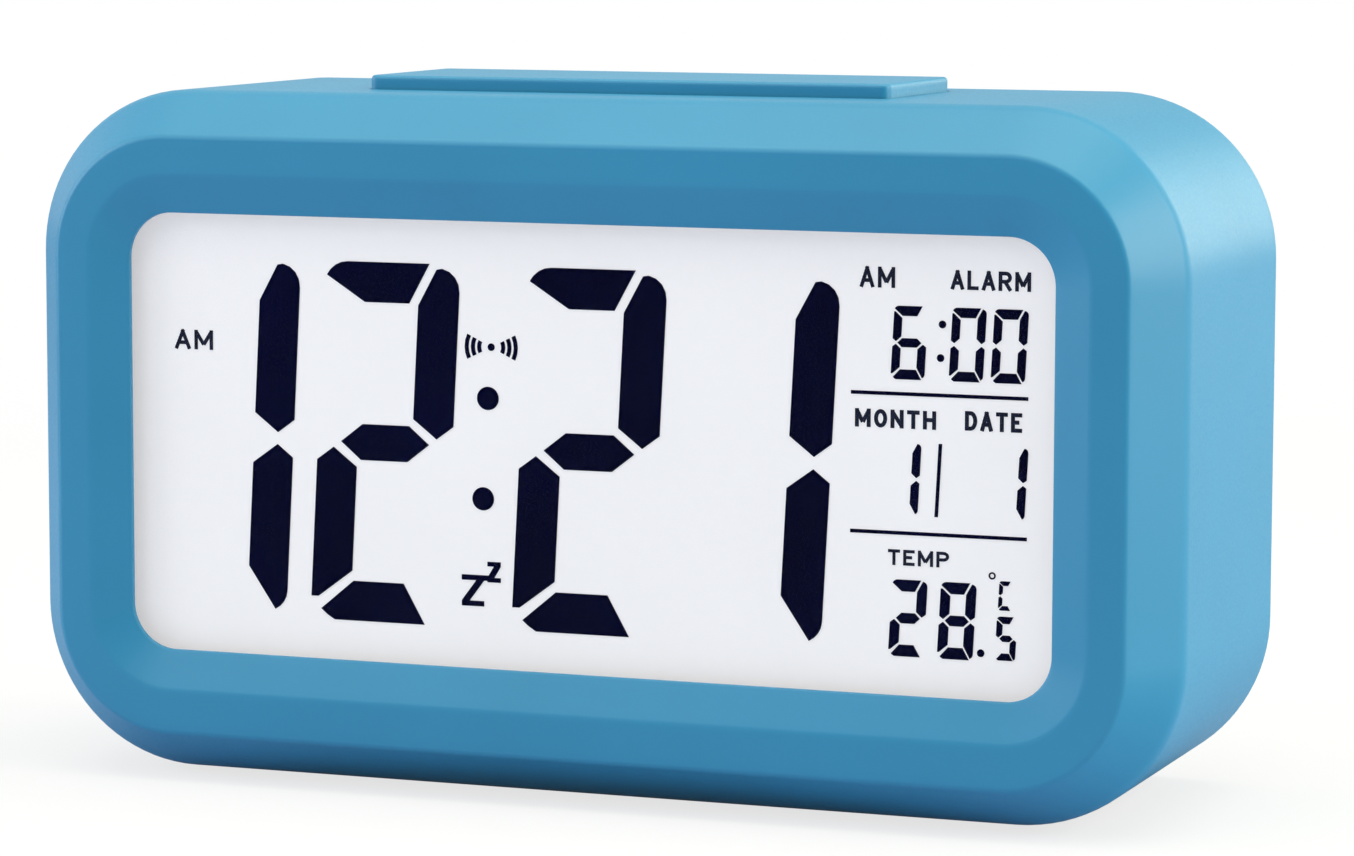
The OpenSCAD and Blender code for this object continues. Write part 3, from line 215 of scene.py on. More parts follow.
# %% [markdown]
# ## Finishes
# Every finish is a node tree on Object coordinates, so its pattern sits still on the part from any side.
# Most parts are mouldings: a broad cloud of noise shifts the colour a little, and a fine grain drives
# roughness and a shallow bump. The helpers below make those three links.

# %% Helpers for finishes
NOISE_SPAN = (0.3, 0.7)
GRAIN_DETAIL = 3
CLOUD_MM = 22


def start_finish(name):
    """Return a material with its tree, the inputs of its Principled shader and the Object coordinates."""
    finish = bpy.data.materials.new(name)
    finish.use_nodes = True
    tree = finish.node_tree
    return finish, tree, tree.nodes["Principled BSDF"].inputs, grow(tree, "ShaderNodeTexCoord")["Object"]


def noise(tree, where, size_mm, detail=2.0):
    """Noise whose blobs are about size_mm wide."""
    links = {"Vector": where, "Scale": 1 / (size_mm * MM), "Detail": detail}
    return grow(tree, "ShaderNodeTexNoise", links)["Fac"]


def tint(tree, value, stops, socket):
    """Turn a value into a colour between two stops, each a place and a colour, and link it to a socket."""
    ramp = tree.nodes.new("ShaderNodeValToRGB")
    for element, (place, colour) in zip(ramp.color_ramp.elements, stops):
        element.position = place
        element.color = (*colour, 1)
    tree.links.new(value, ramp.inputs[0])
    tree.links.new(ramp.outputs[0], socket)


def roughen(tree, value, paint, span):
    """Let a noise value drive the roughness over a span."""
    tree.links.new(ranged(tree, value, NOISE_SPAN, span), paint["Roughness"])


def bump(tree, height, paint, depth_mm, strength=1.0):
    """Give a finish a bump whose full height is depth_mm."""
    links = {"Height": height, "Distance": depth_mm * MM, "Strength": strength}
    tree.links.new(grow(tree, "ShaderNodeBump", links)[0], paint["Normal"])


def moulded(name, colour, rough, grain_mm, lift_mm, fade=0.04, specular=0.5, metal=0.0):
    """A moulded or plated surface: faint cloudy colour, grain in roughness and bump."""
    finish, tree, paint, where = start_finish(name)
    grain = noise(tree, where, grain_mm, GRAIN_DETAIL)
    darker, lighter = ([c * (1 + side * fade) for c in colour] for side in (-1, 1))
    tint(tree, noise(tree, where, CLOUD_MM), zip(NOISE_SPAN, (darker, lighter)), paint["Base Color"])
    roughen(tree, grain, paint, rough)
    bump(tree, grain, paint, lift_mm)
    paint["Specular IOR Level"].default_value = specular
    paint["Metallic"].default_value = metal
    return finish


print("helpers for finishes ready")

# %% [markdown]
# The plain mouldings and metals differ only in colour, grain and shine, so one table holds them all.
# The blue of the case is a satin plastic: fairly rough, with a weak mirror layer. Two inks for printed
# words are kept apart, because no solid part wears them.

# %% Plain finishes
# slot: name, colour, roughness, grain in mm, its height in mm, share of cloudiness, mirror layer, metal
PLAIN_FINISHES = {
    "blue_plastic": ("satin_blue", (0.023, 0.247, 0.445), (0.36, 0.46), 0.35, 0.004, 0.03),
    "foot_rubber": ("foot_rubber", (0.030, 0.032, 0.036), (0.72, 0.9), 0.25, 0.03, 0.12, 0.3),
    "display_ink": ("display_ink", (0.0010, 0.0014, 0.020), (0.5, 0.6), 0.5, 0.001, 0.2, 0.01),
    "white_plastic": ("white_plastic", (0.78, 0.79, 0.80), (0.4, 0.5), 0.3, 0.004),
    "black_plastic": ("black_plastic", (0.014, 0.014, 0.016), (0.38, 0.5), 0.22, 0.008, 0.1),
    "steel": ("nickel_plate", (0.62, 0.61, 0.58), (0.22, 0.34), 0.4, 0.003, 0.05, 0.5, 1.0),
    "bead_coating": ("dipped_bead", (0.33, 0.10, 0.04), (0.2, 0.3), 1.2, 0.03, 0.15),
    "ceramic": ("silvered_ceramic", (0.76, 0.74, 0.68), (0.35, 0.5), 0.3, 0.006, 0.06),
    "wire_sheath": ("wire_sheath", (0.02, 0.02, 0.022), (0.3, 0.42), 0.5, 0.006, 0.2),
    "capacitor_sleeve": ("shrink_sleeve", (0.012, 0.016, 0.05), (0.22, 0.32), 0.8, 0.006, 0.2),
    "white_film": ("white_film", (0.60, 0.58, 0.575), (0.5, 0.6), 0.15, 0.002, 0.02, 0.2),
}
finishes = {slot: moulded(*row) for slot, row in PLAIN_FINISHES.items()}
legend_ink = moulded("legend_ink", (0.016, 0.019, 0.040), (0.5, 0.6), 0.5, 0.001, 0.1, 0.04)
rear_print = moulded("rear_print", (0.72, 0.75, 0.78), (0.5, 0.62), 0.2, 0.003, 0.05, 0.3)
print("plain finishes:", len(finishes))

# %% [markdown]
# Some parts carry a pattern. Contact rubber and flat cable show even stripes, foam has pores, and the spun
# brass disc has fine rings. Wave and Voronoi textures draw these, again on Object coordinates.

# %% Stripes, pores and rings
WAVE_LENGTH = math.pi / 10
STRIPE_EDGE = (0.35, 0.65)
STRIPE_LIFT = 0.6
PORE_EDGE = (0.1, 0.5)
PORE_DARK = 0.4
RING_DARK = 0.9


def stripes(tree, where, pitch_mm, **kind):
    """Even light and dark bands or rings, one pair in each pitch."""
    links = {"Vector": where, "Scale": WAVE_LENGTH / (pitch_mm * MM)}
    return grow(tree, "ShaderNodeTexWave", links, **kind)["Fac"]


def striped(name, light, dark, pitch_mm, rough, lift_mm):
    """A part with even stripes along x that stand slightly proud."""
    finish, tree, paint, where = start_finish(name)
    bands = stripes(tree, where, pitch_mm)
    tint(tree, bands, zip(STRIPE_EDGE, (dark, light)), paint["Base Color"])
    bump(tree, bands, paint, lift_mm, STRIPE_LIFT)
    roughen(tree, noise(tree, where, size_mm=0.4), paint, rough)
    return finish


def porous(name, colour, pore_mm):
    """Foam: small dark pores pressed into a matt surface."""
    finish, tree, paint, where = start_finish(name)
    pores = grow(tree, "ShaderNodeTexVoronoi", {"Vector": where, "Scale": 1 / (pore_mm * MM)})["Distance"]
    tint(tree, pores, zip(PORE_EDGE, ([c * PORE_DARK for c in colour], colour)), paint["Base Color"])
    bump(tree, pores, paint, depth_mm=0.05)
    roughen(tree, noise(tree, where, size_mm=1), paint, span=(0.85, 0.95))
    return finish


def spun_metal(name, colour, ring_mm, node):
    """Sheet metal with fine rings left by turning, about the y axis through the middle of a node."""
    finish, tree, paint, where = start_finish(name)
    low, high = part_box(node)
    centred = grow(tree, "ShaderNodeMapping", {"Vector": where, "Location": -(low + high) / 2})[0]
    rings = stripes(tree, centred, ring_mm, wave_type="RINGS", rings_direction="Y")
    tint(tree, rings, ((0, [c * RING_DARK for c in colour]), (1, colour)), paint["Base Color"])
    bump(tree, rings, paint, depth_mm=0.004)
    roughen(tree, noise(tree, where, size_mm=0.6), paint, span=(0.2, 0.32))
    paint["Metallic"].default_value = 1.0
    return finish


RUBBER_PALE, RUBBER_DARK = (0.09, 0.09, 0.095), (0.02, 0.02, 0.021)
CABLE_PALE, CABLE_DARK = (0.70, 0.71, 0.72), (0.55, 0.56, 0.58)
finishes["contact_rubber"] = striped("contact_rubber", RUBBER_PALE, RUBBER_DARK, pitch_mm=0.5,
                                     rough=(0.6, 0.7), lift_mm=0.01)
finishes["cable_sheath"] = striped("cable_sheath", CABLE_PALE, CABLE_DARK, pitch_mm=1.2,
                                   rough=(0.35, 0.45), lift_mm=0.02)
finishes["black_foam"] = porous("black_foam", (0.014, 0.014, 0.015), pore_mm=0.35)
finishes["brass"] = spun_metal("spun_brass", (0.72, 0.50, 0.18), ring_mm=0.3, node="buzzer_disc")
print("patterned finishes: contact_rubber, cable_sheath, black_foam, brass")

# %% [markdown]
# A circuit board shows copper tracks under its green lacquer. A drawing of real tracks would need a picture,
# so patches of level and upright lines stand in for them: a checker pattern picks the direction, and a cloud
# of noise leaves some areas bare.

# %% Board finish
LACQUER, LACQUERED_COPPER = (0.012, 0.10, 0.042), (0.030, 0.19, 0.075)
TRACK_PITCH = 1.6
TRACK_PATCH = 13
TRACK_EDGE = (0.66, 0.76)
BARE_CLOUD = 11
BARE_EDGE = (0.46, 0.50)
finish, tree, paint, where = start_finish("lacquered_board")
patches = grow(tree, "ShaderNodeTexChecker", {"Vector": where, "Scale": 1 / (TRACK_PATCH * MM)})["Fac"]
lines = grow(tree, "ShaderNodeMix", {"Factor": patches, "A": stripes(tree, where, TRACK_PITCH),
                                     "B": stripes(tree, where, TRACK_PITCH, bands_direction="Z")})["Result"]
bare = ranged(tree, noise(tree, where, BARE_CLOUD, detail=0), BARE_EDGE)
tracks = reckon(tree, "MULTIPLY", lines, bare)
tint(tree, tracks, zip(TRACK_EDGE, (LACQUER, LACQUERED_COPPER)), paint["Base Color"])
bump(tree, tracks, paint, depth_mm=0.03)
roughen(tree, noise(tree, where, size_mm=0.8), paint, span=(0.22, 0.34))
finishes["circuit_board"] = finish
print("board tracks every", TRACK_PITCH, "mm")

# %% [markdown]
# The dry cells wear a printed sleeve: a dark middle and a pale band towards each end, the usual plain look,
# without any lettering. The shader picks the colour by distance from the middle along x.

# %% Cell finish
SLEEVE_DARK = (0.030, 0.032, 0.036)
SLEEVE_PALE = (0.42, 0.43, 0.44)
BAND_START = 13.0
BAND_BLUR = 0.1
finish, tree, paint, where = start_finish("cell_sleeve")
from_middle = reckon(tree, "ABSOLUTE", grow(tree, "ShaderNodeSeparateXYZ", {0: where})["X"])
share = ranged(tree, from_middle, ((BAND_START - BAND_BLUR) * MM, (BAND_START + BAND_BLUR) * MM))
tint(tree, share, ((0, SLEEVE_DARK), (1, SLEEVE_PALE)), paint["Base Color"])
roughen(tree, noise(tree, where, size_mm=0.7), paint, span=(0.22, 0.32))
bump(tree, noise(tree, where, size_mm=3), paint, depth_mm=0.01)
finishes["cell_sleeve"] = finish
print("pale bands start", BAND_START, "mm from the middle")

# %% [markdown]
# Clear panes are thin, so they need no bending of light: a mirror is mixed over plain transparency, more
# of it at a low angle, as on real glass, and the lamps still reach the display behind.
# The white film behind the display gets a painted glow, an emission that stands in for the light on it, so it
# stays bright behind the clear sheets.

# %% Clear and glowing finishes
CLEAR = (0.99, 0.995, 1.0, 1)
STEEPNESS = 5
PANE_CLOUD = 6
# colour and strength of the painted glow: the white film emits light though it is no lamp
FILM_GLOW_TINT = (0.95, 0.92, 0.925, 1)
FILM_PAINTED_GLOW = 0.53


def clear_pane(name, shine, mirror):
    """A thin clear sheet: its roughness varies over shine, and its mirror grows over a span at low angles."""
    finish, tree, _, where = start_finish(name)
    tree.nodes.remove(tree.nodes["Principled BSDF"])
    through = grow(tree, "ShaderNodeBsdfTransparent", {"Color": CLEAR})
    rough = ranged(tree, noise(tree, where, PANE_CLOUD), NOISE_SPAN, shine)
    glare = grow(tree, "ShaderNodeBsdfGlossy", {"Roughness": rough})
    steep = reckon(tree, "POWER", grow(tree, "ShaderNodeLayerWeight")["Facing"], STEEPNESS)
    share = ranged(tree, steep, target=mirror)
    mixed = grow(tree, "ShaderNodeMixShader", {"Fac": share, 1: through[0], 2: glare[0]})
    tree.links.new(mixed[0], tree.nodes["Material Output"].inputs["Surface"])
    return finish


finishes["clear_plastic"] = clear_pane("clear_acrylic", shine=(0.02, 0.05), mirror=(0.002, 0.5))
finishes["display_glass"] = clear_pane("display_glass", shine=(0.03, 0.06), mirror=(0.001, 0.1))
film = finishes["white_film"].node_tree.nodes["Principled BSDF"].inputs
# painted glow: the white film emits light though it is no lamp
film["Emission Color"].default_value = FILM_GLOW_TINT
film["Emission Strength"].default_value = FILM_PAINTED_GLOW
print("finishes for", len(finishes), "slots")

# %% [markdown]
# Every node of the frame gets the finish of its slot. Some are replaced by finer pieces further on.

# %% Dress the frame
for row in frame["record"]["subparts"]:
    skin = frame["nodes"][row["node"]].data.materials
    skin.clear()
    skin.append(finishes[row["material_slot"]])

# %% [markdown]
# ## Floor
# The floor is one wide disc. The camera sees it nearly white, with a share of its true shading left in
# near the clock, so the shadow stays, and pure white further out. Other rays see a cool grey with a painted
# shadow: a dark band along the clock's foot darkens the bounce light, which gives the lower chamfer its deep
# blue and its dark edge. Squeezing x by the clock's proportions turns its footprint into about a circle, so
# one distance is enough for that.

# %% Floor finish
FLOOR_WHITE = 0.74
FLOOR_GLOSS_WHITE = 0.1
# painted shade: the dark floor colour that bounce rays see along the clock's foot
FLOOR_FOOT_SHADE = (0.03, 0.04, 0.06)
FLOOR_COOL = (0.45, 0.52, 0.69)
FLOOR_PALE = (0.80, 0.80, 0.80, 1)
FLOOR_ROUGH = 0.9
FLOOR_SPECULAR = 0.1
SHADOW_REACH = (0.16, 0.50)
FOOT_SHADE_REACH = (0.020, 0.0242)
# places of a colour mix's sockets, whose names are not unique
MIX_FACTOR, MIX_A, MIX_B, MIX_RESULT = 0, 6, 7, 2
floor_finish, tree, paint, where = start_finish("pale_floor")
paint["Roughness"].default_value = FLOOR_ROUGH
paint["Specular IOR Level"].default_value = FLOOR_SPECULAR
ray = grow(tree, "ShaderNodeLightPath")
squeeze = (housing_high.y / housing_high.x, 1, 1)
foot_away = distance(tree, grow(tree, "ShaderNodeMapping", {"Vector": where, "Scale": squeeze})[0])
# mask of the painted shade: 0 at the clock's foot, 1 a little further out
painted_shade_share = ranged(tree, foot_away, FOOT_SHADE_REACH)
tone = grow(tree, "ShaderNodeMix", {MIX_FACTOR: ray["Is Camera Ray"], MIX_B: FLOOR_PALE}, data_type="RGBA")
tint(tree, painted_shade_share, ((0, FLOOR_FOOT_SHADE), (1, FLOOR_COOL)), tone[MIX_RESULT].node.inputs[MIX_A])
tree.links.new(tone[MIX_RESULT], paint["Base Color"])
whiteness = ranged(tree, distance(tree, where), SHADOW_REACH, (FLOOR_WHITE, 1), "SMOOTHSTEP")
seen = reckon(tree, "MULTIPLY", ray["Is Camera Ray"], whiteness)
glossed = reckon(tree, "MULTIPLY", ray["Is Glossy Ray"], FLOOR_GLOSS_WHITE)
white_share = reckon(tree, "MAXIMUM", seen, glossed)
shaded = tree.nodes["Principled BSDF"].outputs[0]
white = grow(tree, "ShaderNodeEmission")[0]
blended = grow(tree, "ShaderNodeMixShader", {"Fac": white_share, 1: shaded, 2: white})
tree.links.new(blended[0], tree.nodes["Material Output"].inputs["Surface"])
print("floor nodes:", len(tree.nodes))

# %% [markdown]
# A disc has no corners that could show, and at twelve metres across its edge is out of sight.

# %% Floor disc
FLOOR_R = 6.0
FLOOR_SIDES = 96


def meshed(shape, name):
    """Turn an edit mesh into a mesh and free it."""
    mesh = bpy.data.meshes.new(name)
    shape.to_mesh(mesh)
    shape.free()
    return mesh


disc = bmesh.new()
bmesh.ops.create_circle(disc, cap_ends=True, segments=FLOOR_SIDES, radius=FLOOR_R)
floor = in_scene("floor", meshed(disc, "floor"))
floor.data.materials.append(floor_finish)
floor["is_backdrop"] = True
print("floor radius", FLOOR_R, "m")

# %% [markdown]
# ## Rounded forms
# A moulded case is a stack of rounded rectangles: each ring has a depth, and a corner radius about fixed
# corner centres. Joining ring to ring gives clean quads that follow the form. Lengths are in millimetres
# from here on, and depth counts from the front face.

# %% Rings and skins
front = housing_low.y
CORNER_STEPS = 22
HOLD = 0.6
WELD = 1e-7
# signs of each corner, and the way along the straight edge after it
QUARTERS = (((1, 1), (-1, 0)), ((-1, 1), (0, -1)), ((-1, -1), (1, 0)), ((1, -1), (0, 1)))


def at(x, depth, z):
    """A point in metres from millimetres, with depth counted from the front face."""
    return Vector((x * MM, front + depth * MM, z * MM))


def rounded(centre_x, centre_z, radius, steps=CORNER_STEPS):
    """Outline of a rounded rectangle about (0, 0): corner arcs with a point close beside each."""
    outline = []
    for quarter, ((sx, sz), (run_x, run_z)) in enumerate(QUARTERS):
        angles = [math.pi / 2 * (quarter + k / steps) for k in range(steps + 1)]
        middle_x, middle_z = sx * centre_x, sz * centre_z
        outline += [(middle_x + radius * math.cos(a), middle_z + radius * math.sin(a)) for a in angles]
        end_x, end_z = outline[-1]
        straight = centre_x if run_x else centre_z
        if straight > 2 * HOLD:
            outline += [(end_x + run_x * run, end_z + run_z * run) for run in (HOLD, 2 * straight - HOLD)]
    return outline


def skinned(rings, loop=False):
    """A closed mesh from rings of equal length; a stack that isn't a loop gets a cap at each end."""
    shape = bmesh.new()
    rows = [[shape.verts.new(point) for point in ring] for ring in rings]
    for row, after in zip(rows, rows[1:] + rows[:1] if loop else rows[1:]):
        for k in range(len(row)):
            shape.faces.new((row[k - 1], row[k], after[k], after[k - 1]))
    if not loop:
        shape.faces.new(rows[0])
        shape.faces.new(rows[-1])
    bmesh.ops.remove_doubles(shape, verts=shape.verts, dist=WELD)
    bmesh.ops.recalc_face_normals(shape, faces=shape.faces)
    return meshed(shape, "skin")


def prism(outline, depths):
    """A closed block with an outline of (x, z) points, from one depth to another."""
    return skinned([[at(x, depth, z) for x, z in outline] for depth in depths])


print("front face at y =", round(front, 4))

# %% [markdown]
# Where two faces of a profile meet, a small arc replaces the corner, with one more ring close beside it that
# keeps the flats flat. The edges of bar and keys turn through a plain quarter circle.

# %% Eased corners
FILLET_STEPS = 6
EDGE_STEPS = 5
ROOM = 0.25


def eased(corners):
    """Round the corners of a closed profile; each corner is (group, radius, depth, fillet)."""
    rows = []
    for k, (group, radius, depth, fillet) in enumerate(corners):
        spot = Vector((radius, depth))
        if not fillet:
            rows.append((group, radius, depth))
            continue
        before = Vector(corners[k - 1][1:3]) - spot
        after = Vector(corners[(k + 1) % len(corners)][1:3]) - spot
        hold = [min(HOLD, ROOM * side.length) for side in (before, after)]
        before.normalize()
        after.normalize()
        half = before.angle(after) / 2
        run = fillet / math.tan(half)
        centre = spot + (before + after).normalized() * (fillet / math.sin(half))
        start, end = spot + before * run, spot + after * run
        turns = [(start - centre).slerp(end - centre, s / FILLET_STEPS) for s in range(FILLET_STEPS + 1)]
        arc = [start + before * hold[0], *(turn * fillet + centre for turn in turns), end + after * hold[1]]
        rows += [(group, point.x, point.y) for point in arc]
    return rows


def quarter_round(radius):
    """How far each step of a rounded edge is drawn in and lies below the top, from its side to its top."""
    turns = [math.pi / 2 * step / EDGE_STEPS for step in range(EDGE_STEPS + 1)]
    return [(radius * (1 - math.cos(turn)), radius * (1 - math.sin(turn))) for turn in turns]


print("fillets of", FILLET_STEPS, "steps, edges of", EDGE_STEPS)

# %% [markdown]
# Holes, posts and pockets are joined or cut with the Boolean modifier. The Manifold solver is quick and
# exact on closed meshes.

# %% Booleans
def rods(spots, radius, low, high, axis="Y", segments=40):
    """Closed cylinders along y or z, as one mesh; spots are the other two coordinates in millimetres."""
    shape = bmesh.new()
    turn = Euler((-math.pi / 2 if axis == "Y" else 0, 0, 0))
    middle = (low + high) / 2
    for a, b in spots:
        place = at(a, middle, b) if axis == "Y" else at(a, b, middle)
        bmesh.ops.create_cone(shape, cap_ends=True, segments=segments, radius1=radius * MM,
                              radius2=radius * MM, depth=(high - low) * MM,
                              matrix=Matrix.LocRotScale(place, turn, None))
    return meshed(shape, "rods")


def plain_mesh(holder):
    """The evaluated mesh of an object, which is then removed."""
    result = bpy.data.meshes.new_from_object(holder.evaluated_get(bpy.context.evaluated_depsgraph_get()))
    bpy.data.objects.remove(holder)
    return result


def worked(mesh, *steps):
    """Apply Boolean steps, each a pair of operation and mesh, in order."""
    holder = in_scene("work", mesh)
    tools = []
    for operation, tool in steps:
        tools.append(in_scene("tool", tool))
        modifier = holder.modifiers.new(operation, "BOOLEAN")
        modifier.operation, modifier.solver, modifier.object = operation, "MANIFOLD", tools[-1]
    result = plain_mesh(holder)
    for tool in tools:
        bpy.data.objects.remove(tool)
    return result


def joined(meshes):
    """Several meshes as one."""
    shape = bmesh.new()
    for mesh in meshes:
        shape.from_mesh(mesh)
    return meshed(shape, "joined")


print("Boolean helpers ready")

# %% [markdown]
# A finished piece is shaded smooth, with edges sharp above an angle, and rides on a body of the frame. Its
# size and place come from the box of the node that it stands for.

# %% Finished pieces
SQUARE_ON = 0.9999
Spot = collections.namedtuple("Spot", "x depth z")


def box_mm(node):
    """The low and the high corner of a node's box in millimetres."""
    return [Spot(corner.x / MM, (corner.y - front) / MM, corner.z / MM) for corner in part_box(node)]


def middle_of(node):
    """The middle of a node's box in millimetres."""
    return Spot(*((low + high) / 2 for low, high in zip(*box_mm(node))))


def piece(name, mesh, body, slot, *nodes, finish=None, sharp=32, broad=None):
    """Finish a mesh as a piece that rides on a body. With broad in mm2, large and square faces stay flat."""
    mesh.name = name
    mesh.materials.clear()
    mesh.materials.append(finish or finishes[slot])
    mesh.set_sharp_from_angle(angle=math.radians(sharp))
    smooth = [broad is None or (face.area < broad * MM * MM and max(map(abs, face.normal)) < SQUARE_ON)
              for face in mesh.polygons]
    mesh.polygons.foreach_set("use_smooth", smooth)
    part = in_scene(name, mesh)
    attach(part, body)
    if nodes:
        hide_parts(*nodes)
    print(name, "rides on", body, "with", len(mesh.polygons), "faces")
    return part


# %% [markdown]
# ## Housing
# The front frame and the four walls are one moulding. Its profile runs from the rear rim forward along the
# wall, over the wide chamfer, across the flat front, down the sloped window frame, and back along the inside.
# The window has its own corner centres, because it sits a little higher than the middle.

# %% Housing profile
WALL = 2.2
CORNER_R = 18.5
CHAMFER = (4.9, 6.5)
WINDOW_HALF = (54.2, 24.8)
WINDOW_R = 5.2
BEVEL = (4.4, 1.66)
WINDOW_LIFT = 0.3
case_w, case_d, case_h = ((high - low) / MM for low, high in zip(housing_low, housing_high))
mid_z = clock_middle.z / MM
centres = {
    "case": (case_w / 2 - CORNER_R, case_h / 2 - CORNER_R, mid_z),
    "window": (WINDOW_HALF[0] - WINDOW_R, WINDOW_HALF[1] - WINDOW_R, mid_z + WINDOW_LIFT),
}
RIM_WALL = 1.2
COVER_DEEP = 3.5
CAVITY_INSET = 6.0
CAVITY_FULL_DEPTH = 7.24
seat_r, seat_depth = CORNER_R - RIM_WALL, case_d - COVER_DEEP
# group of corner centres, radius about them, depth, fillet
profile = eased([
    ("case", seat_r, case_d, 0.25),
    ("case", CORNER_R, case_d, 0.8),
    ("case", CORNER_R, CHAMFER[1], 3.2),
    ("case", CORNER_R - CHAMFER[0], 0, 0.9),
    ("window", WINDOW_R + BEVEL[0], 0, 2.2),
    ("window", WINDOW_R, BEVEL[1], 0.25),
    ("window", WINDOW_R, WALL, 0),
    ("case", CORNER_R - CAVITY_INSET, WALL, 0),
    ("case", CORNER_R - WALL, CAVITY_FULL_DEPTH, 0),
    ("case", CORNER_R - WALL, seat_depth, 0),
    ("case", seat_r, seat_depth, 0),
])


def case_ring(group, radius, depth):
    """One ring of the housing, in metres."""
    centre_x, centre_z, middle = centres[group]
    return [at(x, depth, middle + z) for x, z in rounded(centre_x, centre_z, radius)]


shell = skinned([case_ring(*row) for row in profile], loop=True)
print("housing profile of", len(profile), "rings,", len(shell.polygons), "faces")

# %% [markdown]
# Screws, feet and snooze bar sit where their nodes are, so their places come from the boxes of those nodes.
# The ring round the snooze bar is used twice: for its opening in the roof and for the bar itself.

# %% Places in the housing
FOOT_R = 4.0
CASE_HEAD_R = 2.4
BOARD_HEAD_R = 2.0
FLANGE_LAP = 1.5
BAR_R = 1.0
BAR_STEPS = 8


def corner_spots(node, inset, axis=2):
    """Centres of four round items at the corners of a node's box: x, and z or with axis 1 depth."""
    low, high = box_mm(node)
    return [(a, b) for a in (low.x + inset, high.x - inset) for b in (low[axis] + inset, high[axis] - inset)]


post_spots = corner_spots("case_screws", CASE_HEAD_R)
boss_spots = corner_spots("board_screws", BOARD_HEAD_R)
foot_spots = corner_spots("foot_pads", FOOT_R, axis=1)
press_depth = middle_of("snooze_board_screws").depth
snooze_boss_x = box_mm("snooze_board_screws")[1].x - BOARD_HEAD_R
snooze_spots = [(side * snooze_boss_x, press_depth) for side in (-1, 1)]
snooze_board_low, snooze_board_top = (corner.z for corner in box_mm("snooze_board"))
board_front, board_back = (corner.depth for corner in box_mm("main_board"))
roof = housing_high.z / MM
bar_low, bar_high = box_mm("snooze_bar")
bar_depth = middle_of("snooze_bar").depth
bar_half_x = (bar_high.x - bar_low.x) / 2 - FLANGE_LAP
bar_half_y = (bar_high.depth - bar_low.depth) / 2 - FLANGE_LAP


def bar_ring(proud, radius, z):
    """A level ring round the snooze bar, grown or shrunk all round."""
    outline = rounded(bar_half_x + proud - radius, bar_half_y + proud - radius, radius, BAR_STEPS)
    return [at(x, bar_depth + y, z) for x, y in outline]


print("snooze bar", round(2 * bar_half_x, 2), "x", round(2 * bar_half_y, 2), "mm")

# %% [markdown]
# The shell then gets the posts for the cover screws, the bosses for the boards, the opening for the snooze
# bar and the shallow seats of the feet. A real mould forms them together with the walls, so they are united
# with the shell and do not just stand in it.

# %% Housing details
POST_R, POST_FRONT, POST_END = 3.4, 12.55, seat_depth
BOSS_R, BOSS_FRONT = 2.3, 2.0
POST_BORE_R, POST_BORE_DEEP = 1.25, 9
BOSS_BORE_R, BOSS_BORE_DEEP = 1.05, 7
BORE_SIDES = 24
PAST = 1
BAR_GAP = 0.3
FOOT_GAP, FOOT_SEAT = 0.15, 1.4
opening = skinned([bar_ring(BAR_GAP, BAR_R + BAR_GAP, z) for z in (roof - 2 * WALL, roof + WALL)])
post_bores = rods(post_spots, POST_BORE_R, POST_END - POST_BORE_DEEP, POST_END + PAST, segments=BORE_SIDES)
boss_bores = rods(boss_spots, BOSS_BORE_R, board_front - BOSS_BORE_DEEP, board_front + PAST,
                  segments=BORE_SIDES)
snooze_bores = rods(snooze_spots, BOSS_BORE_R, snooze_board_top - PAST, snooze_board_top + BOSS_BORE_DEEP,
                    "Z", BORE_SIDES)
shell = worked(
    shell,
    ("UNION", rods(post_spots, POST_R, POST_FRONT, POST_END)),
    ("UNION", rods(boss_spots, BOSS_R, BOSS_FRONT, board_front)),
    ("UNION", rods(snooze_spots, BOSS_R, snooze_board_top, roof - WALL / 2, "Z")),
    ("DIFFERENCE", opening),
    ("DIFFERENCE", post_bores),
    ("DIFFERENCE", boss_bores),
    ("DIFFERENCE", snooze_bores),
    ("DIFFERENCE", rods(foot_spots, FOOT_R + FOOT_GAP, -PAST, FOOT_SEAT, "Z")),
)
piece("case_housing", shell, "case", "blue_plastic", "housing")

# %% [markdown]
# ## Snooze bar
# The bar on the roof is a crisp block with lightly rounded edges. Below the roof a flange keeps it from
# falling out, two pins guide it through its springs, and a stem presses the switch. The stack of rings
# starts at the ceiling of the hollow inside and ends on the top face.

# %% Snooze bar
FLANGE_Z = (74.6, 75.8)
BAR_SKIN = 1.8
BAR_EDGE = 0.45
HOLLOW_R = 0.3
EDGE_HOLD = 0.3
PIN_R, PIN_SIDES = 1.5, 28
STEM_R, STEM_SIDES = 3.0, 32
SPRING_OUT_R = 2.85
bar_top = bar_high.z
bar_rings = [
    bar_ring(-BAR_SKIN, HOLLOW_R, bar_top - BAR_SKIN),
    bar_ring(-BAR_SKIN, HOLLOW_R, FLANGE_Z[0]),
    bar_ring(FLANGE_LAP, BAR_R, FLANGE_Z[0]),
    bar_ring(FLANGE_LAP, BAR_R, FLANGE_Z[1]),
    bar_ring(0, BAR_R, FLANGE_Z[1]),
    bar_ring(0, BAR_R, bar_top - BAR_EDGE - EDGE_HOLD),
]
bar_rings += [bar_ring(-inward, BAR_R - inward, bar_top - below) for inward, below in quarter_round(BAR_EDGE)]
bar_rings.append(bar_ring(-BAR_EDGE - EDGE_HOLD, BAR_R - BAR_EDGE - EDGE_HOLD, bar_top))
spring_low, spring_high = box_mm("snooze_springs")
pins = [(side * (spring_high.x - SPRING_OUT_R), press_depth) for side in (-1, 1)]
stem_low = box_mm("snooze_plunger")[1].z
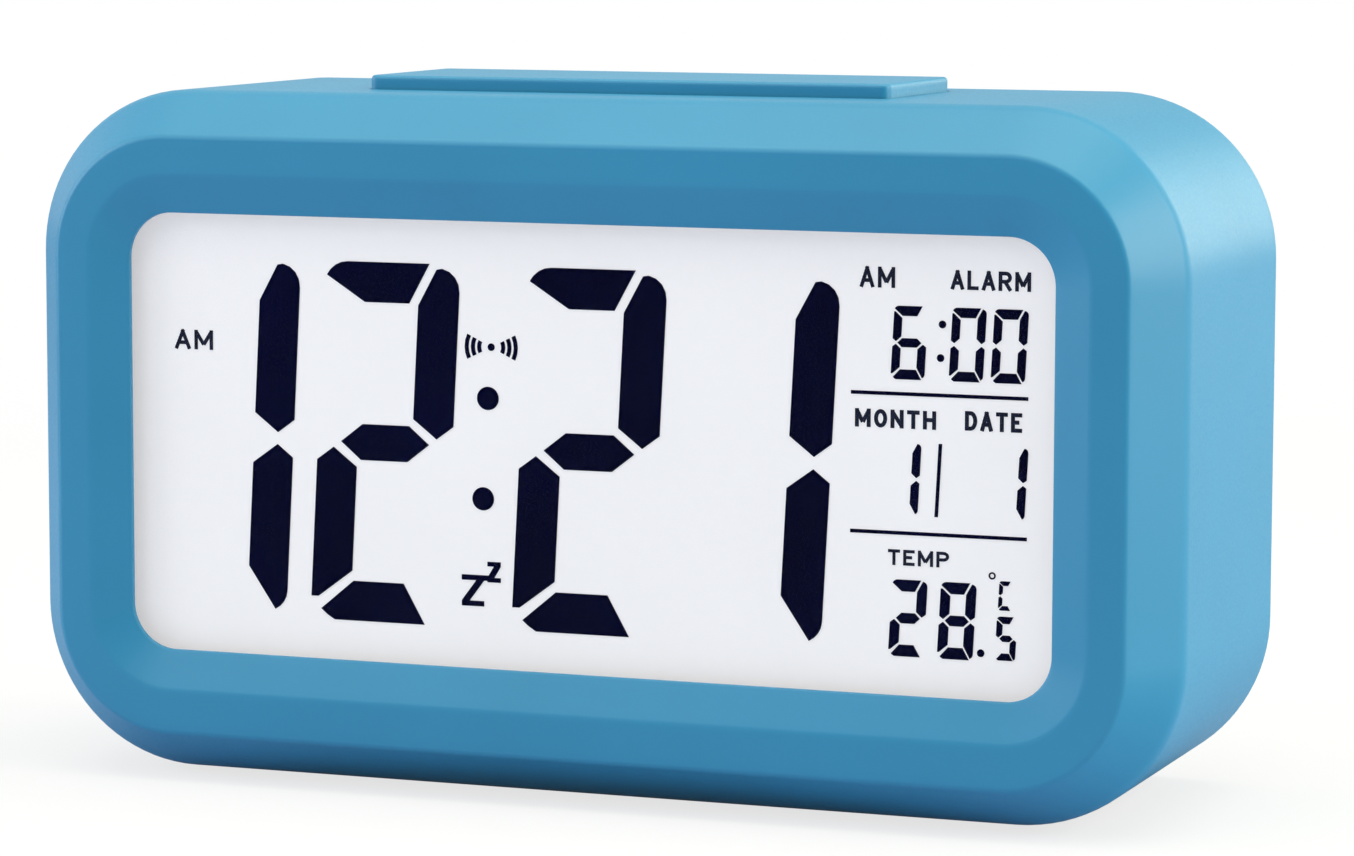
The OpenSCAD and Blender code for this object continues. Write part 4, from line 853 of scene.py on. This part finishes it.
bar_mesh = worked(
    skinned(bar_rings),
    ("UNION", rods(pins, PIN_R, bar_low.z, bar_top - BAR_SKIN / 2, "Z", PIN_SIDES)),
    ("UNION", rods([(0, press_depth)], STEM_R, stem_low, bar_top - BAR_SKIN / 2, "Z", STEM_SIDES)),
)
piece("snooze_top", bar_mesh, "snooze", "blue_plastic", "snooze_bar")

# %% [markdown]
# ## Softened mouldings
# The cover, the door and other small mouldings keep the shape of their nodes, but no moulded edge is knife
# sharp. A copy of the node is merged, its flat faces are joined, and every sharp edge gets a narrow round.

# %% Softened copies
BROAD = 5.0
SOFT_SHARP = 40
SOFT_EDGE = 0.15
FOOT_EDGE, FOOT_EDGE_STEPS = 0.35, 3
KNOB_EDGE = 0.18
SAME_SPOT = 2e-6
FLAT_ANGLE = math.radians(0.4)
EDGE_ANGLE = math.radians(35)


def softened(node, width, steps=2):
    """A merged copy of a node's mesh with its sharp edges rounded to a width in millimetres."""
    shape = bmesh.new()
    shape.from_mesh(frame["nodes"][node].data)
    bmesh.ops.remove_doubles(shape, verts=shape.verts, dist=SAME_SPOT)
    bmesh.ops.dissolve_limit(shape, angle_limit=FLAT_ANGLE, verts=shape.verts, edges=shape.edges)
    edges = [e for e in shape.edges if len(e.link_faces) == 2 and e.calc_face_angle() > EDGE_ANGLE]
    bmesh.ops.bevel(shape, geom=edges, offset=width * MM, offset_type="OFFSET", segments=steps, profile=0.5,
                    affect="EDGES", clamp_overlap=False)
    bmesh.ops.recalc_face_normals(shape, faces=shape.faces)
    return meshed(shape, node)


def soft_piece(name, mesh, body, slot, node):
    """Finish a softened mesh, whose broad faces stay flat."""
    return piece(name, mesh, body, slot, node, sharp=SOFT_SHARP, broad=BROAD)


soft_piece("back_cover", softened("rear_cover", SOFT_EDGE), "case", "blue_plastic", "rear_cover")
soft_piece("cell_door", softened("battery_door", SOFT_EDGE), "door", "blue_plastic", "battery_door")
soft_feet = softened("foot_pads", FOOT_EDGE, FOOT_EDGE_STEPS)
soft_piece("feet", soft_feet, "case", "foot_rubber", "foot_pads")

# %% [markdown]
# The knob of the slide switch is softened too, and its grip has three grooves for the fingernail. They could
# be a bump in the finish, but a cut also shows in the outline.

# %% Slide grip
GROOVES = (-1.1, 0.0, 1.1)
GROOVE_HALF = 0.16
GROOVE_DEEP = 0.25
GRIP_HALF = 2.0
knob_low, knob_high = box_mm("slide_knob")
groove_depths = (knob_high.depth - GROOVE_DEEP, knob_high.depth + PAST)
below, above = knob_low.z - PAST, knob_high.z + PAST
cuts = []
for groove in GROOVES:
    left, right = (knob_high.x - GRIP_HALF + groove + side * GROOVE_HALF for side in (-1, 1))
    corners = [(left, below), (right, below), (right, above), (left, above)]
    cuts.append(("DIFFERENCE", prism(corners, groove_depths)))
grip = worked(softened("slide_knob", KNOB_EDGE), *cuts)
soft_piece("slide_grip", grip, "alarm_slide", "black_plastic", "slide_knob")

# %% [markdown]
# ## Keys
# The five keys behind are alike: a pill with a rounded rim and a shallow dish for the fingertip, a flange
# that stays behind the cover, and a short stem. One stack of rings is moved to the place of each node.

# %% Keys
KEY_WORDS = ("mode", "set", "up", "down", "alarm")
KEY_HALF = 2.0
KEY_R = 3.0
KEY_RIM = 0.7
KEY_STEM_R = 1.75
KEY_FLANGE_R = 4.25
KEY_FLANGE = (40.3, 41.4)
KEY_STEPS = 12
# how far each ring of the dish is drawn in, and how deep it lies
KEY_DISH = ((1.0, 0.03), (1.5, 0.12), (2.0, 0.19), (2.6, 0.23))
key_back, key_face = (corner.depth for corner in box_mm("up_key"))
key_profile = [
    (0, KEY_STEM_R, key_back),
    (0, KEY_STEM_R, KEY_FLANGE[0]),
    (KEY_HALF, KEY_FLANGE_R, KEY_FLANGE[0]),
    (KEY_HALF, KEY_FLANGE_R, KEY_FLANGE[1]),
    (KEY_HALF, KEY_R, KEY_FLANGE[1]),
    (KEY_HALF, KEY_R, key_face - KEY_RIM - EDGE_HOLD),
]
for inward, below in (*quarter_round(KEY_RIM), *KEY_DISH):
    key_profile.append((KEY_HALF, KEY_R - inward, key_face - below))
for word in KEY_WORDS:
    key = middle_of(word + "_key")
    rings = [[at(key.x + x, depth, key.z + z) for x, z in rounded(half, 0, radius, KEY_STEPS)]
             for half, radius, depth in key_profile]
    piece(word + "_button", skinned(rings), "key_" + word, "blue_plastic", word + "_key", sharp=SOFT_SHARP)

# %% [markdown]
# ## Display
# The front glass of a liquid-crystal display carries the polarising film glued to it, so both are one
# clear sheet here, and the rear glass is one sheet with its white film. The dark strokes are nodes of the
# frame.

# %% Display sheets
SHEET_R = 0.5
SHEET_STEPS = 6
glass_low, glass_high = box_mm("lcd_front_glass")
back_low, back_high = box_mm("lcd_rear_glass")[0], box_mm("rear_polarizer")[1]
film_depth = box_mm("front_polarizer")[0].depth
sheet_half = (glass_high.x - glass_low.x) / 2


def sheet(low, high, depths):
    """A pane with lightly rounded corners, as high as two corners of boxes say."""
    half_z, middle = (high.z - low.z) / 2, (high.z + low.z) / 2
    outline = rounded(sheet_half - SHEET_R, half_z - SHEET_R, SHEET_R, SHEET_STEPS)
    return prism([(x, middle + z) for x, z in outline], depths)


clear_sheet = sheet(glass_low, glass_high, (film_depth, glass_high.depth))
piece("display_sheet", clear_sheet, "case", "display_glass", "lcd_front_glass", "front_polarizer")
back_sheet = sheet(back_low, back_high, (back_low.depth, back_high.depth))
piece("display_back", back_sheet, "case", "white_film", "lcd_rear_glass", "rear_polarizer")

# %% [markdown]
# The words beside the dark strokes are printed in the same layer. Text objects would do, but the clock's
# letters are bold and evenly drawn, so a small alphabet of strokes is laid out here. Each letter fills a
# square of one by one, and its strokes are paths in it.

# %% Letter strokes
def bow(centre, reach, start, end, steps=10):
    """Points of an elliptical arc between two angles in degrees."""
    angles = [math.radians(start + (end - start) * k / steps) for k in range(steps + 1)]
    return [(centre[0] + reach[0] * math.cos(a), centre[1] + reach[1] * math.sin(a)) for a in angles]


BOWL = [(0, 1), *bow((0.58, 0.74), (0.42, 0.26), 90, -90), (0, 0.48)]
STEM = [(0, 0), (0, 1)]
FAR_STEM = [(1, 0), (1, 1)]
LETTERS = {
    "A": ([(0, 0), (0.5, 1)], [(0.5, 1), (1, 0)], [(0.2, 0.3), (0.8, 0.3)]),
    "D": (STEM, [(0, 1), *bow((0.45, 0.5), (0.55, 0.5), 90, -90), (0, 0)]),
    "E": ([(1, 0), (0, 0), (0, 1), (1, 1)], [(0, 0.52), (0.88, 0.52)]),
    "F": ([(0, 0), (0, 1), (1, 1)], [(0, 0.5), (0.85, 0.5)]),
    "H": (STEM, FAR_STEM, [(0, 0.52), (1, 0.52)]),
    "L": ([(0, 1), (0, 0), (1, 0)],),
    "M": (STEM, FAR_STEM, [(0.04, 0.95), (0.5, 0.2)], [(0.5, 0.2), (0.96, 0.95)]),
    "N": (STEM, FAR_STEM, [(0.03, 0.96), (0.97, 0.04)]),
    "O": (bow((0.5, 0.5), (0.5, 0.5), 80, 280, 20), bow((0.5, 0.5), (0.5, 0.5), 260, 460, 20)),
    "P": (STEM, BOWL),
    "R": (STEM, BOWL, [(0.5, 0.46), (0.97, 0)]),
    "S": ([*bow((0.5, 0.74), (0.46, 0.26), 20, 250), *bow((0.5, 0.25), (0.5, 0.25), 70, -160)],),
    "T": ([(0, 1), (1, 1)], [(0.5, 0), (0.5, 1)]),
    "U": ([(0, 1), *bow((0.5, 0.36), (0.5, 0.36), 180, 360), (1, 1)],),
    "W": ([(0, 1), (0.25, 0)], [(0.25, 0), (0.5, 0.9)], [(0.5, 0.9), (0.75, 0)], [(0.75, 0), (1, 1)]),
}
WIDE = {"M": 1.2, "W": 1.35, "L": 0.85, "E": 0.9, "T": 0.95}
print("letters:", "".join(LETTERS))

# %% [markdown]
# A word is laid out between two ends, each letter with its share of the width. Every stroke becomes a flat
# bar, and the bars are united layer by layer: a layer holds one stroke of each letter, so its bars never
# touch.

# %% Words from strokes
LETTER_GAP = 0.26
MITRE_LEAST = 0.5


def stroke(path, wide, depths):
    """A closed flat bar along a path of (x, z) points, square at its ends and mitred at its bends."""
    sides = ([], [])
    for k, (x, z) in enumerate(path):
        before = Vector(path[k]) - Vector(path[max(k - 1, 0)])
        after = Vector(path[min(k + 1, len(path) - 1)]) - Vector(path[k])
        along = (before.normalized() + after.normalized()).normalized()
        run = after if k == 0 else before
        across = Vector((-along.y, along.x)) * (wide / 2) / max(MITRE_LEAST, along.dot(run.normalized()))
        sides[0].append((x + across.x, z + across.y))
        sides[1].append((x - across.x, z - across.y))
    return prism(sides[0] + sides[1][::-1], depths)


def lengthened(path, reach, wide):
    """A letter's path in millimetres, its ends on the border of the letter drawn out by half a stroke."""
    spots = [Vector((u * reach[0], v * reach[1])) for u, v in path]
    for end, inner in ((0, 1), (-1, -2)):
        if path[end][0] in (0, 1) or path[end][1] in (0, 1):
            spots[end] += (spots[end] - spots[inner]).normalized() * wide / 2
    return spots


def lettering(rows, depths, mirrored=False):
    """Solid words: each row is (word, span in x, span in z, stroke width), letters spaced evenly."""
    layers = {}
    for word, across, rise, wide in rows:
        shares = [WIDE.get(letter, 1.0) for letter in word]
        unit = (across[1] - across[0]) / (sum(shares) + LETTER_GAP * (len(word) - 1))
        left = 0.0
        for letter, share in zip(word, shares):
            reach = (unit * share - wide, rise[1] - rise[0] - wide)
            for layer, path in enumerate(LETTERS[letter]):
                spots = lengthened(path, reach, wide)
                spots = [(left + wide / 2 + x, rise[0] + wide / 2 + z) for x, z in spots]
                spots = [(across[1] - x if mirrored else across[0] + x, z) for x, z in spots]
                layers.setdefault(layer, []).append(stroke(spots, wide, depths))
            left += unit * (share + LETTER_GAP)
    return worked(joined(layers[0]), *(("UNION", joined(layers[k])) for k in sorted(layers)[1:]))


print("gap between letters:", LETTER_GAP, "of a letter")

# %% [markdown]
# Each word of the display is fitted to the place that it has in the photograph, measured from the middle of
# the clock.

# %% Display words
# word, span in x, span in z from the middle, stroke width
DISPLAY_WORDS = [
    ("AM", (-49.70, -44.96), (9.56, 11.77), 0.42),
    ("AM", (31.84, 35.79), (19.12, 21.36), 0.40),
    ("ALARM", (42.02, 50.88), (19.18, 21.24), 0.40),
    ("MONTH", (31.38, 40.50), (4.08, 6.07), 0.44),
    ("DATE", (43.71, 50.05), (4.16, 6.25), 0.44),
    ("TEMP", (35.21, 42.08), (-10.70, -9.00), 0.34),
]
rows = [(word, across, [mid_z + z for z in rise], wide) for word, across, rise, wide in DISPLAY_WORDS]
print_depths = [corner.depth for corner in box_mm("lcd_segments")]
piece("display_words", lettering(rows, print_depths), "case", "display_ink", finish=legend_ink)

# %% [markdown]
# The rear cover names its keys and its switch, and the door shows where to press. These are printed
# letters that stand a little above the plastic. They read from behind, so their x runs the other way.

# %% Rear words
PRINT_THICK = 0.12
PRINT_STROKE = 0.3
PRINT_H = 1.7
LETTER_W = 1.55
KEY_WORD_Z = 62.6
SWITCH_MIDDLE = 0.5
# word, shift in x from the middle of the switch, foot of the word
SWITCH_WORDS = (("ALARM", 0, 30.4), ("OFF", -3.0, 21.8), ("ON", 3.2, 21.8))
OPEN_Z = 30.6
OPEN_ARROW = [(-1.6, 35.2), (1.6, 35.2), (0, 33.4)]
cover_face = box_mm("rear_cover")[1].depth
rear_depths = (cover_face, cover_face + PRINT_THICK)


def rear_row(word, x, z):
    """A printed word centred on x, with its foot at z."""
    half = len(word) * LETTER_W / 2
    return word, (x - half, x + half), (z, z + PRINT_H), PRINT_STROKE


rows = [rear_row(word.upper(), middle_of(word + "_key").x, KEY_WORD_Z) for word in KEY_WORDS]
rows += [rear_row(word, knob_high.x - SWITCH_MIDDLE + shift, z) for word, shift, z in SWITCH_WORDS]
piece("rear_words", lettering(rows, rear_depths, mirrored=True), "case", "blue_plastic", finish=rear_print)
open_mark = lettering([rear_row("OPEN", 0, OPEN_Z)], rear_depths, mirrored=True)
open_mark = joined([open_mark, prism(OPEN_ARROW, rear_depths)])
piece("door_mark", open_mark, "door", "blue_plastic", finish=rear_print)

# %% [markdown]
# ## Screws
# Four kinds of pan-head screws hold the cover and the boards. Geometry Nodes turn one into many: the sizes
# are inputs of the tree, and the screw is set on each point of a small point mesh. The helpers here start
# such a tree, end it, and run it.

# %% Geometry tree helpers
def start_tree(name, sizes, turned=True):
    """A geometry tree with a float input for each size, a material and, where it sets copies, a rotation."""
    tree = bpy.data.node_groups.new(name, "GeometryNodeTree")
    inputs = [("Geometry", "Geometry"), *((label, "Float") for label in sizes), ("Finish", "Material")]
    if turned:
        inputs.append(("Turn", "Rotation"))
    for label, kind in inputs:
        tree.interface.new_socket(label, in_out="INPUT", socket_type="NodeSocket" + kind)
    tree.interface.new_socket("Geometry", in_out="OUTPUT", socket_type="NodeSocketGeometry")
    return tree, tree.nodes.new("NodeGroupInput").outputs


def finish_tree(tree, given, shape):
    """End a tree: realize the shape and set its finish."""
    real = grow(tree, "GeometryNodeRealizeInstances", {"Geometry": shape})
    done = grow(tree, "GeometryNodeSetMaterial", {"Geometry": real[0], "Material": given["Finish"]})
    tree.links.new(done[0], tree.nodes.new("NodeGroupOutput").inputs[0])
    print(tree.name, "tree of", len(tree.nodes), "nodes")


def set_on_points(tree, given, shape):
    """End a tree with a copy of the shape on every point."""
    links = {"Points": given["Geometry"], "Instance": shape, "Rotation": given["Turn"]}
    finish_tree(tree, given, grow(tree, "GeometryNodeInstanceOnPoints", links)[0])


def grown(tree, points, sizes, slot, turn=None, edges=()):
    """Run a tree on points in metres and return the plain mesh; its sizes are in millimetres."""
    cloud = bpy.data.meshes.new("points")
    cloud.from_pydata(points, edges, [])
    holder = in_scene("grown", cloud)
    modifier = holder.modifiers.new("tree", "NODES")
    modifier.node_group = tree
    sockets = {s.name: s.identifier for s in tree.interface.items_tree if s.in_out == "INPUT"}
    for label, value in sizes.items():
        modifier[sockets[label]] = value * MM if label != "Turns" else value
    if turn:
        modifier[sockets["Turn"]] = turn
    modifier[sockets["Finish"]] = finishes[slot]
    return plain_mesh(holder)


print("geometry tree helpers ready")

# %% [markdown]
# The head is a cylinder whose upper points sink towards the rim, more steeply further out. A shank is joined
# to it, and two crossed bars are cut out of the dome.

# %% Screw tree
HEAD_SIDES, HEAD_RINGS, SHANK_SIDES = 40, 6, 24
DOME_BEND, DOME_FALL = 2.6, -0.55
SHANK_MIDDLE = -0.499
CROSS_LONG, CROSS_TALL, CROSS_RISE = 5.0, 1.2, 1.05
CROSS_TURNS = (20, 110)
screw_tree, given = start_tree(
    "pan_head_screw", ("Head radius", "Head height", "Shank radius", "Length", "Cross"))
tree = screw_tree


def times(value, factor):
    """A value of the screw's tree times a factor."""
    return reckon(screw_tree, "MULTIPLY", value, factor)


def raised(shape, height, turn=0.0):
    """A shape of the screw's tree, turned about z and moved along it."""
    lift = grow(screw_tree, "ShaderNodeCombineXYZ", {"Z": height})[0]
    links = {"Geometry": shape, "Translation": lift, "Rotation": (0, 0, turn)}
    return grow(screw_tree, "GeometryNodeTransform", links)[0]


head = grow(tree, "GeometryNodeMeshCylinder", {"Vertices": HEAD_SIDES, "Fill Segments": HEAD_RINGS,
                                               "Radius": given["Head radius"], "Depth": given["Head height"]})
place = grow(tree, "ShaderNodeSeparateXYZ", {0: grow(tree, "GeometryNodeInputPosition")[0]})
off_axis = distance(tree, grow(tree, "ShaderNodeCombineXYZ", {"X": place["X"], "Y": place["Y"]})[0])
bend = reckon(tree, "POWER", reckon(tree, "DIVIDE", off_axis, given["Head radius"]), DOME_BEND)
fall = grow(tree, "ShaderNodeCombineXYZ", {"Z": times(bend, times(given["Head height"], DOME_FALL))})
upper = grow(tree, "FunctionNodeCompare", {0: place["Z"], 1: 0.0}, operation="GREATER_THAN")
dome = grow(tree, "GeometryNodeSetPosition",
            {"Geometry": head["Mesh"], "Selection": upper[0], "Offset": fall[0]})
shank = grow(tree, "GeometryNodeMeshCylinder",
             {"Vertices": SHANK_SIDES, "Radius": given["Shank radius"], "Depth": given["Length"]})
arm_size = grow(tree, "ShaderNodeCombineXYZ", {"X": times(given["Cross"], CROSS_LONG), "Y": given["Cross"],
                                               "Z": times(given["Head height"], CROSS_TALL)})
arm = grow(tree, "GeometryNodeMeshCube", {"Size": arm_size[0]})
whole = grow(tree, "GeometryNodeMeshBoolean", operation="UNION", solver="MANIFOLD")[0]
cut = grow(tree, "GeometryNodeMeshBoolean", {"Mesh 1": whole}, operation="DIFFERENCE", solver="MANIFOLD")[0]
tree.links.new(raised(dome[0], times(given["Head height"], 0.5)), whole.node.inputs["Mesh 2"])
tree.links.new(raised(shank["Mesh"], times(given["Length"], SHANK_MIDDLE)), whole.node.inputs["Mesh 2"])
for turn in CROSS_TURNS:
    bar = raised(arm["Mesh"], times(given["Head height"], CROSS_RISE), math.radians(turn))
    tree.links.new(bar, cut.node.inputs["Mesh 2"])
set_on_points(tree, given, cut)

# %% [markdown]
# The screws of the cover are a little larger than those of the boards. Each kind is set where its node is,
# with the head against the cover or the board, and turned the way that a screwdriver reaches it.

# %% Screws
TO_REAR = (-math.pi / 2, 0, 0)
TO_FRONT = (math.pi / 2, 0, 0)
DOWNWARD = (math.pi, 0, 0)
HEAD_H = 1.2
CASE_SCREW = {"Head radius": CASE_HEAD_R, "Head height": HEAD_H, "Shank radius": 1.2, "Length": 9.0,
              "Cross": 0.6}
BOARD_SCREW = {"Head radius": BOARD_HEAD_R, "Head height": HEAD_H, "Shank radius": 1.0, "Length": 7.5,
               "Cross": 0.5}
KEY_SCREW = {**BOARD_SCREW, "Length": 6.0}
key_board_front = box_mm("key_board")[0].depth
cover_seat = box_mm("case_screws")[1].depth - HEAD_H
key_row_z = middle_of("key_board_screws").z
key_screw_x = box_mm("key_board_screws")[1].x - BOARD_HEAD_R
key_screw_spots = [at(side * key_screw_x, key_board_front, key_row_z) for side in (-1, 1)]
# node: places, direction, sizes
SCREW_KINDS = {
    "case_screws": ([at(x, cover_seat, z) for x, z in post_spots], TO_REAR, CASE_SCREW),
    "board_screws": ([at(x, board_back, z) for x, z in boss_spots], TO_REAR, BOARD_SCREW),
    "key_board_screws": (key_screw_spots, TO_FRONT, KEY_SCREW),
    "snooze_board_screws": ([at(x, y, snooze_board_low) for x, y in snooze_spots], DOWNWARD, BOARD_SCREW),
}
for node, (spots, turn, sizes) in SCREW_KINDS.items():
    mesh = grown(screw_tree, spots, sizes, "steel", turn)
    piece(node.replace("screws", "screw_set"), mesh, "case", "steel", node)

# %% [markdown]
# ## Springs
# A spring is a spiral curve with a round section, so its tree sweeps a circle along a spiral. With a radius
# for each end, the same tree makes straight coils and cones.

# %% Spring tree
SPIRAL_STEPS = 32
SECTION_SIDES = 12


def swept(tree, given, curve):
    """A curve of a tree with a round section along it."""
    links = {"Resolution": SECTION_SIDES, "Radius": given["Wire radius"]}
    section = grow(tree, "GeometryNodeCurvePrimitiveCircle", links)[0]
    links = {"Curve": curve, "Profile Curve": section, "Fill Caps": True}
    return grow(tree, "GeometryNodeCurveToMesh", links)[0]


spring_tree, given = start_tree(
    "coil_spring", ("Base radius", "Tip radius", "Height", "Turns", "Wire radius"))
spiral = grow(spring_tree, "GeometryNodeCurveSpiral",
              {"Resolution": SPIRAL_STEPS, "Rotations": given["Turns"], "Start Radius": given["Base radius"],
               "End Radius": given["Tip radius"], "Height": given["Height"]})
set_on_points(spring_tree, given, swept(spring_tree, given, spiral[0]))

# %% [markdown]
# Two straight coils push the snooze bar up.

# %% Snooze springs
SNOOZE_WIRE = 0.25
SNOOZE_TURNS = 4.0
SNOOZE_COIL_R = 2.6
SEAT = 0.03
spring_height = spring_high.z - spring_low.z
inset = SNOOZE_WIRE + SEAT
coil_sizes = {"Base radius": SNOOZE_COIL_R, "Tip radius": SNOOZE_COIL_R, "Height": spring_height - 2 * inset,
              "Turns": SNOOZE_TURNS, "Wire radius": SNOOZE_WIRE}
coil = grown(spring_tree, [at(x, y, spring_low.z + inset) for x, y in pins], coil_sizes, "steel")
snooze_coils = piece("snooze_coils", coil, "case", "steel", "snooze_springs")
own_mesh(snooze_coils)

# %% [markdown]
# The cell contacts are cone springs on the steel plates, one behind the flat end of each cell. They lie along
# x, so the tree runs once for each direction.

# %% Contact springs
CONTACT_WIRE = 0.3
CONTACT_TURNS = 3.0
CONTACT_LEN = 4.5
CONE_BASE_R, CONE_TIP_R = 4.0, 2.0
CELL_R = 5.25
BUTTON_SIDE = (1, -1, 1)
inset = CONTACT_WIRE + SEAT
cone_sizes = {"Base radius": CONE_BASE_R, "Tip radius": CONE_TIP_R, "Height": CONTACT_LEN - 2 * inset,
              "Turns": CONTACT_TURNS, "Wire radius": CONTACT_WIRE}
cell_low, cell_high = box_mm("battery_cells")
cell = middle_of("battery_cells")
cell_rows = [cell_low.z + CELL_R, cell.z, cell_high.z - CELL_R]
plate_x = box_mm("contact_springs")[1].x
cones = []
for side in (1, -1):
    feet = [at(-side * (plate_x - inset), cell.depth, z) for z, button in zip(cell_rows, BUTTON_SIDE)
            if button == side]
    cones.append(grown(spring_tree, feet, cone_sizes, "steel", (0, side * math.pi / 2, 0)))
piece("contact_coils", joined(cones), "case", "steel", "contact_springs")

# %% [markdown]
# ## Wires and cable
# A wire is any path with a round section. Its tree turns a chain of edges into a curve and sweeps a circle
# along it, as the spring's tree does.

# %% Wire tree
wire_tree, given = start_tree("sheathed_wire", ("Wire radius",), turned=False)
route = grow(wire_tree, "GeometryNodeMeshToCurve", {"Mesh": given["Geometry"]})
finish_tree(wire_tree, given, swept(wire_tree, given, route[0]))

# %% [markdown]
# Each wire leaves its solder pad square to it and bends over to the next board, which a Bezier curve with one
# pull at each end draws well. The points repeat the routes of the solids.

# %% Wires
WIRE_R = 0.5
PATH_STEPS = 24


def bezier(a, b, c, d):
    """Points of a Bezier curve from a to d with the handles b and c."""
    path = []
    for k in range(PATH_STEPS + 1):
        t = k / PATH_STEPS
        path.append((1 - t) ** 3 * a + 3 * (1 - t) ** 2 * t * b + 3 * (1 - t) * t * t * c + t ** 3 * d)
    return path


def wire_route(start, end, leave, arrive):
    """Points in metres of a wire that leaves and arrives along the given pulls, straight at both ends."""
    a, b, leave, arrive = Vector(start), Vector(end), Vector(leave), Vector(arrive)
    curve = bezier(a + WIRE_R * leave.normalized(), a + leave, b + arrive, b + WIRE_R * arrive.normalized())
    return [at(*point) for point in (a, *curve, b)]


def wires(routes):
    """One mesh with a wire along every route."""
    points, edges = [], []
    for path in routes:
        edges += [(len(points) + k, len(points) + k + 1) for k in range(len(path) - 1)]
        points += path
    return grown(wire_tree, points, {"Wire radius": WIRE_R}, "wire_sheath", edges=edges)


# start, end, pull at the start and pull at the end of each wire: x, depth and z
WIRE_ROUTES = {
    "battery_wires": [((24.7, 25.6, 15.8), (30, board_back, 20.8), (0, -5, 0), (0, 5, 0)),
                      ((-24.7, 25.6, 38.2), (-30, board_back, 33.2), (0, -5, 0), (0, 5, 0))],
    "buzzer_wires": [((-37.6, 40.1, 27), (-36.2, board_back, 23), (0, -9, 0), (0, 9, 0)),
                     ((-42.6, 39.85, 27), (-41.2, board_back, 23), (0, -9, 0), (0, 9, 0))],
    "snooze_wires": [((x, 21.5, snooze_board_low), (x, board_back, snooze_board_low - 7), (0, 0, -5),
                      (0, 5, 0)) for x in (-14, -11)],
}
for node, routes in WIRE_ROUTES.items():
    leads = wires([wire_route(*route) for route in routes])
    piece(node.replace("wires", "leads"), leads, "case", "wire_sheath", node)

# %% [markdown]
# The flat cable is ten cores side by side, so its section is a row of bumps. It follows the same kind of
# curve between the key board and the main board.

# %% Flat cable
CABLE_CORES = 10
CABLE_THICK = 0.6
CABLE_PULL = 8
CABLE_SHARP = 60
CORE_STEPS = 6
WEB = 0.55
cable_low, cable_high = box_mm("ribbon_cable")
core_step = (cable_high.x - cable_low.x) / CABLE_CORES / CORE_STEPS
upper_z, lower_z = cable_high.z - CABLE_THICK / 2, cable_low.z + CABLE_THICK / 2
cable_path = bezier(Vector((key_board_front, upper_z)), Vector((key_board_front - CABLE_PULL, upper_z)),
                    Vector((board_back + CABLE_PULL, lower_z)), Vector((board_back, lower_z)))
bumps = []
for k in range(CORE_STEPS * CABLE_CORES + 1):
    swell = WEB + (1 - WEB) * math.sin(math.pi * (k % CORE_STEPS) / CORE_STEPS)
    bumps.append((cable_low.x + k * core_step, CABLE_THICK / 2 * swell))
section = bumps + [(x, -rise) for x, rise in reversed(bumps)]
cable_rings = [[at(x, depth, z + rise) for x, rise in section] for depth, z in cable_path]
piece("flat_cable", skinned(cable_rings), "case", "cable_sheath", "ribbon_cable", sharp=CABLE_SHARP)

# %% [markdown]
# ## Dry cells
# Three cells lie head to tail. Each is a turned steel can with a raised button, inside a thin sleeve whose
# ends are shrunk over the edge. Rings along x make both.

# %% Dry cells
CELL_STEPS = 48
# flat end, shoulder and tip of the button, along x from the middle
CELL_STATIONS = (-20.0, 23.5, 24.5)
# radius, station and offset from it
CAN = [(3.6, 0, 0), (4.75, 0, 0), (5.0, 0, 0.25), (5.0, 1, -0.6), (4.6, 1, -0.1), (2.7, 1, 0), (1.95, 1, 0),
       (1.9, 1, 0.1), (1.9, 2, -0.2), (1.65, 2, 0)]
SLEEVE = [(4.7, 0, -0.02), (5.1, 0, 0.06), (CELL_R, 0, 0.35), (CELL_R, 1, -0.75), (5.1, 1, -0.45),
          (4.8, 1, -0.3), (4.8, 1, -0.36), (5.02, 1, -0.7), (5.02, 0, 0.3), (4.7, 0, 0.02)]


def turned(profile, loop):
    """The turned shape of a profile along x, once for every cell."""
    angles = [2 * math.pi * k / CELL_STEPS for k in range(CELL_STEPS)]
    shapes = []
    for row_z, side in zip(cell_rows, BUTTON_SIDE):
        rings = []
        for radius, station, offset in profile:
            x = side * (CELL_STATIONS[station] + offset)
            circle = [(radius * math.cos(a), radius * math.sin(a)) for a in angles]
            rings.append([at(x, cell.depth + across, row_z + rise) for across, rise in circle])
        shapes.append(skinned(rings, loop))
    return joined(shapes)


piece("cell_sleeves", turned(SLEEVE, True), "case", "cell_sleeve", "battery_cells", sharp=SOFT_SHARP)
piece("cell_cans", turned(CAN, False), "case", "steel", sharp=SOFT_SHARP)

# %% [markdown]
# ## Size
# The box of the solids and the box of the dressed clock are both kept side by side, and the dressed box is
# printed. The dressed clock has to stay inside the box of its solids.

# %% Sizes and finish
bpy.context.view_layer.update()
dressed_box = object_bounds()
sizes = {"cad": [list(corner) for corner in cad_box], "visual": [list(corner) for corner in dressed_box]}
print("visual box", [[round(v / MM, 2) for v in corner] for corner in dressed_box])
